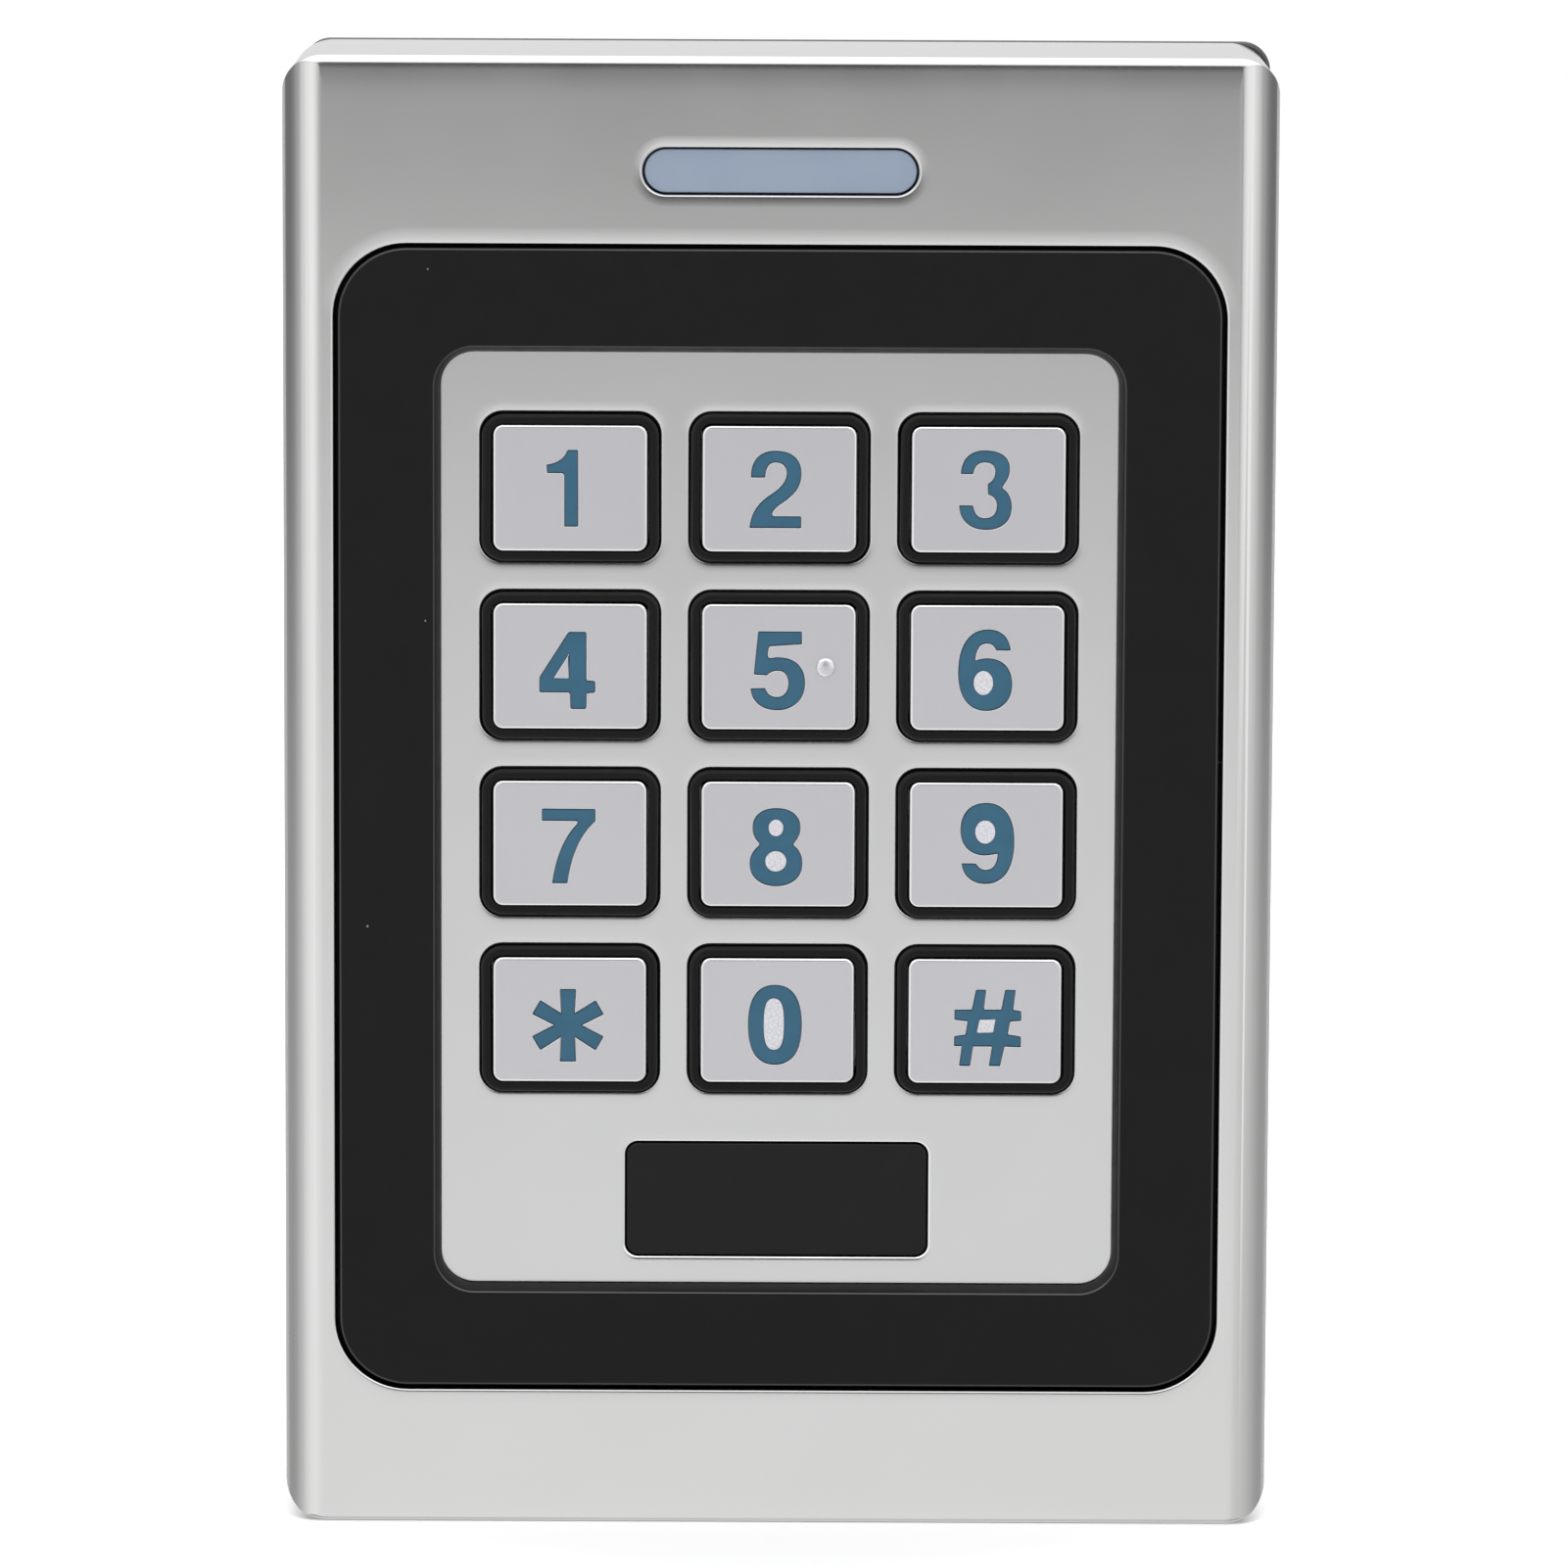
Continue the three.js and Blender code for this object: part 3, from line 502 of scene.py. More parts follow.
def key_silver(name, rim_polish_and_highlight):
    """Silver lacquer over plastic, faintly lilac and slightly clouded, polished on its bevels,
    which are also lightened as a painted highlight.
    """
    m = Nodes(name)
    tone = m.blend(m.noise(75, detail=1.0), (0.438, 0.436, 0.463), (0.456, 0.454, 0.48))
    # Painted highlight: the bevels, where the surface turns from the front, are lightened to pale
    # silver and made more metallic and smoother, partly as real polish.
    turned_rim_highlight = m.math("MULTIPLY", m.bevel_mask(0.9, 0.99), rim_polish_and_highlight)
    m.link(m.blend(turned_rim_highlight, tone, (0.8, 0.8, 0.81)), "Base Color")
    m.link(m.ramp(turned_rim_highlight, 0, 1, 0.62, 1.0), "Metallic")
    satin = m.ramp(m.noise(90, detail=0.0), 0, 1, 0.275, 0.295)
    m.link(m.math("SUBTRACT", satin, m.math("MULTIPLY", turned_rim_highlight, 0.12)), "Roughness")
    m.link(m.bump(m.noise(60, detail=1.0), 0.000003, 1.0), "Normal")
    return m.material


def island_silver():
    """The coarser sprayed film on the islands inside the figures."""
    m = Nodes("island_silver")
    m.set(Metallic=0.4)
    grain = m.noise(6500, detail=1.0)
    tone = m.blend(m.ramp(grain, 0.3, 0.7, 0, 1), (0.4, 0.4, 0.43), (0.6, 0.6, 0.63))
    m.link(tone, "Base Color")
    m.link(m.ramp(grain, 0.3, 0.7, 0.35, 0.5), "Roughness")
    m.link(m.bump(grain, 0.000006, 0.6), "Normal")
    return m.material


def teal_figure():
    """Translucent teal plastic, slightly cloudy."""
    m = Nodes("teal_figure")
    m.set(Roughness=0.35, Specular_IOR_Level=0.3)
    clouds = m.noise(420, detail=2.0)
    tone = m.blend(m.ramp(clouds, 0.3, 0.7, 0, 1), (0.019, 0.074, 0.122), (0.022, 0.083, 0.135))
    m.link(tone, "Base Color")
    m.link(m.bump(m.noise(1600, detail=1.0), 0.000004, 0.5), "Normal")
    return m.material


def frosted_lens():
    """Frosted bluish light guide, faintly clouded, with a few pale specks."""
    m = Nodes("frosted_lens")
    m.set(Coat_Weight=0.2, Coat_Roughness=0.2)
    clouds = m.noise(170, detail=2.0)
    tone = m.blend(m.ramp(clouds, 0.35, 0.65, 0, 1), (0.17, 0.213, 0.28), (0.184, 0.225, 0.29))
    m.link(m.blend(m.specks(330, 0.06, 0.04), tone, (0.75, 0.8, 0.85)), "Base Color")
    m.link(m.ramp(m.noise(2600, detail=2.0), 0.3, 0.7, 0.34, 0.44), "Roughness")
    m.link(m.bump(m.noise(3000, detail=2.0), 0.000004, 0.5), "Normal")
    return m.material


def plain_part(name, low, high, roughness=0.5, metallic=0.0, grain=2500):
    """A material for parts inside the housing: two close tones and a light grain."""
    m = Nodes(name)
    m.set(Metallic=metallic)
    m.link(m.blend(m.noise(900, detail=3.0), low, high), "Base Color")
    m.link(m.ramp(m.noise(grain), 0.3, 0.7, roughness - 0.05, roughness + 0.05), "Roughness")
    m.link(m.bump(m.noise(grain, detail=2.0), 0.00001, 0.5), "Normal")
    return m.material


MATERIALS = {
    "satin_nickel": satin_metal("satin_nickel", (0.58, 0.58, 0.577), 0.2),
    # The plate's hole rims carry the painted highlight at full share.
    "plate_metal": satin_metal("plate_metal", (0.56, 0.56, 0.564), 0.2, 1.0),
    "black_plastic": moulded_black(
        "black_plastic", (0.005, 0.005, 0.0051), 0.38, 0.46, 3600, 0.000008
    ),
    "charcoal_plastic": moulded_black(
        "charcoal_plastic", (0.045, 0.045, 0.046), 0.42, 0.52, 3600, 0.000008
    ),
    "black_silicone": moulded_black(
        "black_silicone", (0.004, 0.004, 0.0042), 0.42, 0.52, 2400, 0.000008, 0.22, dust=False
    ),
    "smoked_window": moulded_black(
        "smoked_window", (0.008, 0.008, 0.0082), 0.3, 0.38, 5200, 0.000003, 0.2, dust=False
    ),
    "silver_key": key_silver("silver_key", 1.0),
    "silver_dot": key_silver("silver_dot", 0.45),
    "island_silver": island_silver(),
    "teal_legend": teal_figure(),
    "frosted_lens": frosted_lens(),
    "white_component": plain_part("white_component", (0.62, 0.61, 0.55), (0.72, 0.71, 0.65)),
    "dark_component": plain_part("dark_component", (0.016, 0.016, 0.018), (0.03, 0.03, 0.032)),
    "relay_case": plain_part("relay_case", (0.03, 0.07, 0.25), (0.04, 0.09, 0.30), 0.4),
    "dome_film": plain_part("dome_film", (0.6, 0.62, 0.64), (0.72, 0.74, 0.76), 0.3),
    "circuit_board": plain_part("circuit_board", (0.008, 0.085, 0.03), (0.014, 0.12, 0.05), 0.35),
    "copper_wire": plain_part("copper_wire", (0.48, 0.19, 0.07), (0.6, 0.26, 0.1), 0.32, 1.0),
    "foam_rubber": plain_part(
        "foam_rubber", (0.018, 0.018, 0.019), (0.035, 0.035, 0.036), 0.85, 0.0, 1500
    ),
    "screw_steel": plain_part("screw_steel", (0.42, 0.42, 0.43), (0.5, 0.5, 0.51), 0.3, 1.0),
}

# ------------------------------------------------------------------------------------
# Shell


def shell_bar():
    """The plan of the casting, run the full height, with both long front edges well rounded.
    It stands a hair proud, so that the flat of the face stays the casting's own."""
    half = SHELL.width / 2
    steps = 28
    proud = 0.001
    points = [(half, SHELL.back)]
    for side, first in ((1, 0.0), (-1, math.pi / 2)):
        for i in range(steps + 1):
            angle = first + math.pi / 2 * i / steps
            x = side * (half - SIDE_ROUND) + SIDE_ROUND * math.cos(angle)
            points.append((x, SIDE_ROUND - SIDE_ROUND * math.sin(angle) - proud))
    points.append((-half, SHELL.back))
    profile = [(0, SHELL.bottom - 1), (0, SHELL.top + 1)]
    return as_object("shell_bar", sweep([(drawn(points), profile)], place=from_below))


def front_shell():
    block = [(0, SHELL.back), *eased_edge(END_ROUND, 0, 3.0, 0.02, 12)]
    outline = with_stops(rounded(SHELL.width, SHELL.height, SHELL_CORNER, steps=20, least=0.6))
    shell = as_object("shell_casting", sweep([(outline, block)]))
    combine(shell, [shell_bar()], "INTERSECT")

    def cutter(name, outline, reach, drop):
        """Cuts a hole whose rounded edge runs out onto the face, and clears the space before it."""
        edge = opened(eased_edge(HOLE_ROUND, -0.0005, reach, drop, 8))
        above = (edge[-1][0] - 0.3, -0.02)
        profile = [(0, SHELL_WALL + 1), *edge, above, (above[0], -0.5)]
        return as_object(name, sweep([(outline, profile)]))

    hole = rounded(
        BEZEL.width + 2 * BEZEL.gap,
        BEZEL.height + 2 * BEZEL.gap,
        BEZEL.corner + BEZEL.gap,
        z=BEZEL_NODE.z,
        steps=16,
    )
    slot_width, slot_height = LENS.width + 2 * LENS.gap, LENS.height + 2 * LENS.gap
    slot = rounded(slot_width, slot_height, slot_height / 2, LENS_NODE.x, LENS_NODE.z, 16)
    cavity = rounded(SHELL.width - 2 * SHELL_WALL, SHELL.height - 2 * SHELL_WALL, CAVITY_CORNER)
    cavity_profile = [(0, SHELL_WALL), (0, SHELL.back + 1)]
    lock_hole = disc(LOCK.width / 2 + 0.25, 0, LOCK.front + LOCK.width / 2)
    lock_profile = [(0, SHELL.bottom - 1), (0, SHELL.bottom + SHELL_WALL + 1)]
    combine(
        shell,
        [
            as_object("cavity", sweep([(cavity, cavity_profile)])),
            cutter("bezel_hole", hole, 1.5, 0.021),
            cutter("lens_slot", slot, 1.0, 0.019),
            as_object("lock_hole", sweep([(lock_hole, lock_profile)], place=from_below)),
        ],
        "DIFFERENCE",
    )
    place_piece(shell, BODY, MATERIALS["satin_nickel"], ["front_shell"])


# ------------------------------------------------------------------------------------
# Face


def bezel():
    front = BEZEL_NODE.front
    back = BEZEL_NODE.back
    outer = rounded(BEZEL.width, BEZEL.height, BEZEL.corner, 0, BEZEL_NODE.z, 16)
    inner = rounded(OPENING.width, OPENING.height, OPENING.corner, 0, PLATE.z, 12)
    overhang, step = 1.1, back - 1.5
    flange = [(-overhang, back), (-overhang, step), (0, step)]
    seat, ledge = 1.7, PLATE.front - 0.3
    recess = [(-seat, back), (-seat, ledge), (0, ledge)]
    lip = [(-0.05, 1.1), (-0.4, 0.36), (-0.46, 0.23), (-0.53, 0.15), (-0.62, 0.11), (-0.72, front)]
    profiles = [(outer, flange + rounded_edge(0.32, front)), (inner, recess + lip)]
    obj = as_object("bezel", sweep(profiles))
    place_piece(obj, BODY, MATERIALS["black_plastic"], ["bezel_frame"])


def key_places():
    return {label: node_span(f"key_cap_{label}") for label in KEY_LABELS}


def key_plate(keys):
    outline = rounded(PLATE.width, PLATE.height, PLATE_CORNER, PLATE.x, PLATE.z)
    loops = [(outline, [(0, PLATE.back), (0, PLATE.front)])]
    rim = [(0, PLATE.back), *opened(eased_edge(HOLE_ROUND, PLATE.front, 0.85, 0.013))]
    for key in keys.values():
        hole = rounded(KEY_HOLE.width, KEY_HOLE.height, KEY_HOLE.corner, key.x, key.z)
        loops.append((hole, rim))
    window_rim = [(0, PLATE.back), *opened(eased_edge(0.3, PLATE.front, 0.8, 0.008))]
    loops.append((rounded(PANE.width, PANE.height, PANE.corner, 0, WINDOW_NODE.z), window_rim))
    obj = as_object("key_plate", sweep(loops))
    place_piece(obj, BODY, MATERIALS["plate_metal"], ["keypad_plate"])


def key_mat(keys):
    """The silicone mat, whose collars fill the gap round each key and stand just proud."""
    outline = rounded(MAT.width, MAT.height, MAT_CORNER, MAT.x, MAT.z)
    sheet_front = PLATE.back + 0.3
    wall = 0.8
    clearance = 0.12
    crest = MAT.front - 0.1
    collar = [
        (wall, MAT.back),
        (wall, crest + 0.2),
        (wall - 0.06, crest + 0.07),
        (wall - 0.2, crest),
        (0.3, crest),
        (0.12, crest + 0.1),
        (0.02, crest + 0.3),
        (0, sheet_front),
    ]
    loops = [(outline, [(0, MAT.back), (0, sheet_front)])]
    width, height = KEY_HOLE.width - clearance, KEY_HOLE.height - clearance
    for seed, key in enumerate(keys.values()):
        ring = rounded(width, height, KEY_HOLE.corner, key.x, key.z, 14)
        loops.append((wavy(ring, 0.03, RANDOM_SEED + seed), collar))
    obj = as_object("key_mat", sweep(loops))
    place_piece(obj, BODY, MATERIALS["black_silicone"], ["keymat"])


def sensor_pane():
    width, height = PANE.width - 2 * PANE.gap, PANE.height - 2 * PANE.gap
    outline = rounded(width, height, PANE.corner - PANE.gap, 0, WINDOW_NODE.z)
    front = PLATE.front + 0.02
    overhang, step = 1.2, 3.3
    flange = [(-overhang, WINDOW_NODE.back), (-overhang, step), (0, step)]
    profile = flange + rounded_edge(0.12, front)
    obj = as_object("sensor_pane", sweep([(outline, profile)]))
    place_piece(obj, BODY, MATERIALS["smoked_window"], ["sensor_window"])


def status_lens():
    outline = rounded(LENS.width, LENS.height, LENS.height / 2, LENS_NODE.x, LENS_NODE.z, 16)
    overhang, step = 1.4, SHELL_WALL + 0.3
    shoulder = [(-overhang, LENS_NODE.back), (-overhang, step), (0, step)]
    profile = shoulder + rounded_edge(0.14, LENS_NODE.front)
    obj = as_object("status_lens", sweep([(outline, profile)]))
    place_piece(obj, BODY, MATERIALS["frosted_lens"], ["led_lens"])


# ------------------------------------------------------------------------------------
# Keys

# Each figure is drawn round the middle of its key. M, L, Q and C are a move, a line, a quadratic
# and a cubic curve. The "holes" are its closed counters, where (x, z, half width, half height) is
# an ellipse.
GLYPHS = {
    "1": {
        "path": "M -1.9 1.9 Q -0.55 2.05 -0.2 3.1 L 0.62 3.1 L 0.64 -3.1 L -0.46 -3.1 "
        "L -0.46 0.95 Q -0.46 1.24 -0.75 1.24 L -1.85 1.24",
        "holes": [],
    },
    "2": {
        "path": "M -2.3 0.95 C -2.3 2.3 -1.6 3.1 -0.3 3.1 C 1.0 3.1 1.76 2.4 1.76 1.3 "
        "C 1.76 0.2 1.2 -0.45 0.35 -1.03 C -0.1 -1.35 -0.6 -1.7 -0.6 -2.05 "
        "Q -0.58 -2.22 -0.4 -2.22 L 1.76 -2.22 L 1.76 -3.15 L -2.4 -3.15 "
        "C -2.25 -1.9 -1.75 -1.2 -0.75 -0.5 C 0.1 0.05 0.6 0.6 0.6 1.3 "
        "C 0.6 1.85 0.2 2.18 -0.3 2.18 C -0.85 2.18 -1.15 1.75 -1.17 0.95",
        "holes": [],
    },
    "3": {
        "path": "M -2.26 1.31 C -2.15 2.6 -1.45 3.2 -0.3 3.2 C 0.95 3.2 1.68 2.65 1.68 1.75 "
        "C 1.68 1.2 1.5 0.85 1.12 0.35 Q 1.05 0.15 1.2 0.05 C 1.65 -0.25 1.85 -0.75 1.85 -1.35 "
        "C 1.85 -2.5 1.1 -3.22 -0.2 -3.22 C -1.5 -3.22 -2.3 -2.5 -2.38 -1.27 L -1.27 -1.27 "
        "C -1.15 -2.0 -0.85 -2.31 -0.3 -2.31 C 0.3 -2.31 0.68 -1.95 0.68 -1.3 "
        "C 0.68 -0.75 0.35 -0.45 -0.02 -0.36 Q -0.1 0.1 -0.05 0.5 C 0.3 0.65 0.54 1.0 0.54 1.5 "
        "C 0.54 1.95 0.2 2.26 -0.3 2.26 C -0.85 2.26 -1.2 1.95 -1.27 1.31",
        "holes": [],
    },
    "4": {
        "path": "M -0.05 2.8 L 1.15 2.8 Q 1.32 2.8 1.32 2.62 L 1.32 -1.15 L 1.9 -1.2 "
        "Q 2.04 -1.22 2.04 -1.4 L 2.04 -1.95 Q 2.04 -2.12 1.9 -2.14 L 1.34 -2.2 L 1.32 -3.3 "
        "Q 1.3 -3.47 1.15 -3.47 L 0.22 -3.47 Q 0.06 -3.47 0.05 -3.3 L 0.02 -2.3 "
        "Q 0 -2.12 -0.2 -2.12 L -2.3 -2.12 Q -2.46 -2.12 -2.46 -1.95 L -2.46 -0.9 L -0.2 2.65",
        "holes": ["M -0.08 1.05 L -1.36 -1.0 L -0.08 -1.0"],
    },
    "5": {
        "path": "M -1.66 2.9 L 1.86 2.9 L 1.86 1.9 L -0.65 1.72 Q -0.82 1.7 -0.84 1.5 "
        "L -0.92 0.98 Q -0.85 0.68 -0.6 0.73 C -0.3 0.8 0 0.8 0.2 0.78 "
        "C 1.4 0.72 2.13 -0.1 2.13 -1.3 C 2.13 -2.6 1.2 -3.5 -0.1 -3.5 "
        "C -1.4 -3.5 -2.15 -2.8 -2.27 -1.75 L -1.1 -1.72 C -0.95 -2.2 -0.65 -2.45 -0.15 -2.45 "
        "C 0.45 -2.45 0.8 -2.0 0.8 -1.35 C 0.8 -0.65 0.45 -0.27 -0.05 -0.27 "
        "C -0.45 -0.27 -0.75 -0.4 -0.93 -0.65 L -2.0 -0.58",
        "holes": [],
    },
    "6": {
        "path": "M 1.87 1.46 L 0.72 1.46 C 0.55 1.8 0.35 2.02 -0.05 2.02 "
        "C -0.65 2.02 -1.0 1.5 -1.0 0.58 C -0.65 0.72 -0.2 0.8 0.15 0.78 "
        "C 1.3 0.72 2.0 -0.1 2.0 -1.3 C 2.0 -2.6 1.2 -3.48 -0.1 -3.48 "
        "C -1.6 -3.48 -2.36 -2.2 -2.36 -0.4 C -2.36 1.8 -1.5 3.14 0.05 3.14 "
        "C 1.1 3.14 1.75 2.5 1.87 1.46",
        "holes": [(-0.32, -1.22, 0.81, 1.0)],
    },
    "7": {
        "path": "M -2.25 2.84 L 2.07 2.82 L 2.07 1.85 C 0.75 0.7 0.1 -1.1 -0.2 -3.25 "
        "L -1.42 -3.25 C -1.15 -1.3 -0.5 0.5 0.62 1.6 Q 0.72 1.86 0.45 1.86 L -2.25 1.88",
        "holes": [],
    },
    "8": {
        "path": "M -0.12 2.96 C 1.1 2.96 1.81 2.3 1.81 1.4 C 1.81 0.85 1.6 0.5 1.27 0.1 "
        "Q 1.2 -0.02 1.3 -0.12 C 1.75 -0.45 1.98 -1.0 1.98 -1.55 C 1.98 -2.7 1.1 -3.42 -0.15 -3.42 "
        "C -1.4 -3.42 -2.28 -2.7 -2.28 -1.6 C -2.28 -1.0 -2.0 -0.5 -1.55 -0.15 "
        "Q -1.45 0 -1.55 0.15 C -1.9 0.5 -2.05 0.9 -2.05 1.4 C -2.05 2.3 -1.35 2.96 -0.12 2.96",
        "holes": [(-0.17, 1.34, 0.62, 0.7), (-0.17, -1.4, 0.88, 0.85)],
    },
    "9": {
        "path": "M -1.98 -1.5 L -0.82 -1.52 C -0.6 -1.9 -0.35 -2.04 0 -2.04 "
        "C 0.6 -2.04 0.95 -1.5 0.96 -0.68 C 0.55 -0.72 0.2 -0.82 -0.15 -0.82 "
        "C -1.3 -0.8 -2.08 0 -2.08 1.2 C -2.08 2.6 -1.3 3.46 0 3.46 "
        "C 1.5 3.46 2.28 2.2 2.28 0.4 C 2.28 -1.8 1.5 -3.16 -0.05 -3.16 "
        "C -1.15 -3.16 -1.85 -2.5 -1.98 -1.5",
        "holes": [(-0.08, 1.08, 0.84, 0.97)],
    },
    "0": {
        "path": "M -0.19 2.93 C 1.3 2.93 2.0 1.7 2.0 -0.35 C 2.0 -2.4 1.3 -3.63 -0.19 -3.63 "
        "C -1.68 -3.63 -2.37 -2.4 -2.37 -0.35 C -2.37 1.7 -1.68 2.93 -0.19 2.93",
        "holes": [
            "M -0.27 1.83 C 0.35 1.83 0.57 1.2 0.57 -0.3 C 0.57 -1.8 0.35 -2.43 -0.27 -2.43 "
            "C -0.9 -2.43 -1.12 -1.8 -1.12 -0.3 C -1.12 1.2 -0.9 1.83 -0.27 1.83"
        ],
    },
    "hash": {
        "path": "M -0.73 2.6 L 0.08 2.6 L -0.1 0.97 L 1.35 0.97 L 1.66 2.6 L 2.49 2.6 "
        "L 2.28 0.95 L 2.95 0.85 L 2.95 0.08 L 2.05 0.02 L 1.85 -1.08 L 2.93 -1.24 "
        "L 2.93 -2.1 L 1.6 -2.05 L 1.25 -3.66 L 0.37 -3.66 L 0.62 -2.05 L -0.95 -2.05 "
        "L -1.19 -3.66 L -2.06 -3.66 L -1.85 -2.02 L -2.48 -2.02 L -2.48 -1.24 L -1.55 -1.1 "
        "L -1.38 0.02 L -2.46 0.15 L -2.46 0.95 L -1.05 0.97",
        "holes": ["M -0.45 0.14 L -0.68 -0.96 L 0.7 -0.94 L 0.9 0.18"],
    },
}
STAR = SimpleNamespace(x=-0.13, z=-0.46, arms=6, reach=2.97, tip_half_width=0.65, notch=1.08)
CURVE_STEPS = 12
CORNER_ROUND = 0.09


def curve_points(start, controls, steps=CURVE_STEPS):
    """Points along a quadratic or cubic curve, after its start."""
    poles = [Vector(p) for p in (start, *controls)]
    points = []
    for i in range(1, steps + 1):
        level = poles
        while len(level) > 1:
            level = [a.lerp(b, i / steps) for a, b in zip(level, level[1:])]
        points.append(tuple(level[0]))
    return points


def path_points(text):
    points = []
    for mark in "MLQC":
        text = text.replace(mark, "|" + mark)
    for chunk in filter(None, text.split("|")):
        numbers = [float(word) for word in chunk[1:].split()]
        pairs = list(zip(numbers[0::2], numbers[1::2]))
        if chunk[0] in "ML":
            points.append(pairs[0])
        else:
            points.extend(curve_points(points[-1], pairs))
    return [p for i, p in enumerate(points) if math.dist(p, points[i - 1]) > 1e-3]


def star_points():
    points = []
    tip = math.hypot(STAR.tip_half_width, STAR.reach)
    spread = math.atan2(STAR.tip_half_width, STAR.reach)
    for i in range(STAR.arms):
        angle = math.pi / 2 + math.tau * i / STAR.arms
        points += [(tip, angle - spread), (tip, angle + spread)]
        points.append((STAR.notch, angle + math.pi / STAR.arms))
    return [(STAR.x + r * math.cos(a), STAR.z + r * math.sin(a)) for r, a in points]


def softened(points, radius=CORNER_ROUND):
    """Rounds each real corner of a drawn outline; gentle bends are left as they are."""
    result = []
    for i, here in enumerate(points):
        before = Vector(points[i - 1])
        after = Vector(points[(i + 1) % len(points)])
        corner = Vector(here)
        turn = (corner - before).angle(after - corner)
        if turn < math.radians(30):
            result.append(here)
            continue
        reach = min(radius, (corner - before).length / 2.2, (after - corner).length / 2.2)
        start = corner + (before - corner).normalized() * reach
        end = corner + (after - corner).normalized() * reach
        result.append(tuple(start))
        result.extend(curve_points(start, [here, end], 5))
    return result


def figure_points(label):
    points = star_points() if label == "star" else path_points(GLYPHS[label]["path"])
    return softened(points)


def counter_points(label):
    holes = [] if label == "star" else GLYPHS[label]["holes"]
    loops = []
    for hole in holes:
        if isinstance(hole, str):
            loops.append(softened(path_points(hole)))
        else:
            x, z, half_width, half_height = hole
            turns = [math.tau * i / 40 for i in range(40)]
            ellipse = [(x + half_width * math.cos(a), z + half_height * math.sin(a)) for a in turns]
            loops.append(ellipse)
    return loops


def cap_face(label, key):
    """Depth of the cap's face. On the 5, the CAD cap's front is the top of its dot."""
    return key.front + (NUB.height if label == "5" else 0.0)


def key_cap(label, key):
    face = cap_face(label, key)
    outline = rounded(KEY.width, KEY.height, KEY.corner, key.x, key.z)
    step = key.back - KEY.flange
    flange = [(-KEY.overhang, key.back), (-KEY.overhang, step), (0, step)]
    body = (outline, flange + rounded_edge(KEY.rim, face))
    figure = drawn(figure_points(label), key.x, key.z)
    rim = shifted(opened(rounded_edge(RECESS.rim, face, 4)), -RECESS.gap)
    recess = [(-RECESS.gap, face + RECESS.depth), *rim]
    obj = as_object(f"cap_{label}", sweep([body], [(figure, recess)]))
    place_piece(obj, f"key_{label}", MATERIALS["silver_key"], [f"key_cap_{label}"])


def key_figure(label, key):
    """The teal figure, sunk a little in the cap's face, with an island in each counter."""
    body = f"key_{label}"
    top = cap_face(label, key)
    face, floor = top + FIGURE.sunk, top + FIGURE.floor
    outline = drawn(figure_points(label), key.x, key.z)
    rim = shifted(rounded_edge(FIGURE.rim, face, 4), FIGURE.inset)
    loops = [(outline, [(FIGURE.inset, floor), *rim])]
    counters = [drawn(points, key.x, key.z) for points in counter_points(label)]
    for counter in counters:
        loops.append((counter, [(0, floor), *opened(rounded_edge(FIGURE.counter_rim, face, 4))]))
    obj = as_object(f"figure_{label}", sweep(loops))
    place_piece(obj, body, MATERIALS["teal_legend"], [f"key_legend_{label}"])
    finish = "silver_key" if label == "4" else "island_silver"
    for number, counter in enumerate(counters, 1):
        rim = shifted(rounded_edge(ISLAND.rim, top + ISLAND.sunk, 4), ISLAND.inset)
        profile = [(ISLAND.inset, floor), *rim]
        island = as_object(f"island_{label}_{number}", sweep([(counter, profile)]))
        place_piece(island, body, MATERIALS[finish])


def key_dot(key):
    """The raised dot that marks the middle key."""
    face = cap_face("5", key)
    outline = disc(NUB.radius, key.x + NUB.x, key.z)
    dome = [(0, face)]
    for i in range(1, 10):
        angle = math.pi / 2 * i / 10
        dome.append((NUB.radius * (1 - math.cos(angle)), face - NUB.height * math.sin(angle)))
    obj = as_object("dot_5", sweep([(outline, dome)]))
    place_piece(obj, "key_5", MATERIALS["silver_dot"])


# ------------------------------------------------------------------------------------
# Back


def wall_plate():
    """The bracket hangs a little to the right of the housing, within the play of its hooks."""
    width = WALL.width - BRACKET.play
    middle = SHELL.width / 2 - BRACKET.margin - width / 2
    outline = rounded(width, SHELL.height, BRACKET.corner, middle, steps=14)
    front = SHELL.back + BRACKET.gap
    back = WALL.back
    rear_edge = [(0, back - 0.4), (0.12, back - 0.12), (0.4, back)]
    loops = [(outline, [(0.25, front), (0.07, front + 0.07), (0, front + 0.25), *rear_edge])]
    cable = rounded(CABLE_PASS.width, CABLE_PASS.height, CABLE_PASS.corner, INLET.x, INLET.z)
    loops.append((cable, [(-0.3, front), (0, front + 0.3), *opened(rear_edge)]))
    countersink = [(-2.0, front), (0, front + 1.1), (0, back - 0.25), (-0.25, back)]
    dish = [(0.3, back - 0.7), (0, back - 0.3), (0, back - 0.12), (-0.12, back)]
    pockets = []
    for side in (-1, 1):
        for end in (-1, 1):
            hole = disc(WALL_HOLES.radius, side * WALL_HOLES.x, end * WALL_HOLES.z)
            loops.append((hole, countersink))
        for z, height in POCKETS.rows:
            pocket = rounded(POCKETS.width, height, POCKETS.corner, side * POCKETS.x, z)
            pockets.append((pocket, dish))
    for z in GROOVES.rows:
        groove = rounded(GROOVES.width, GROOVES.height, GROOVES.height / 2, 0, z)
        pockets.append((groove, dish))
    obj = as_object("wall_bracket", sweep(loops, pockets))
    place_piece(obj, BODY, MATERIALS["charcoal_plastic"], ["wall_plate"])


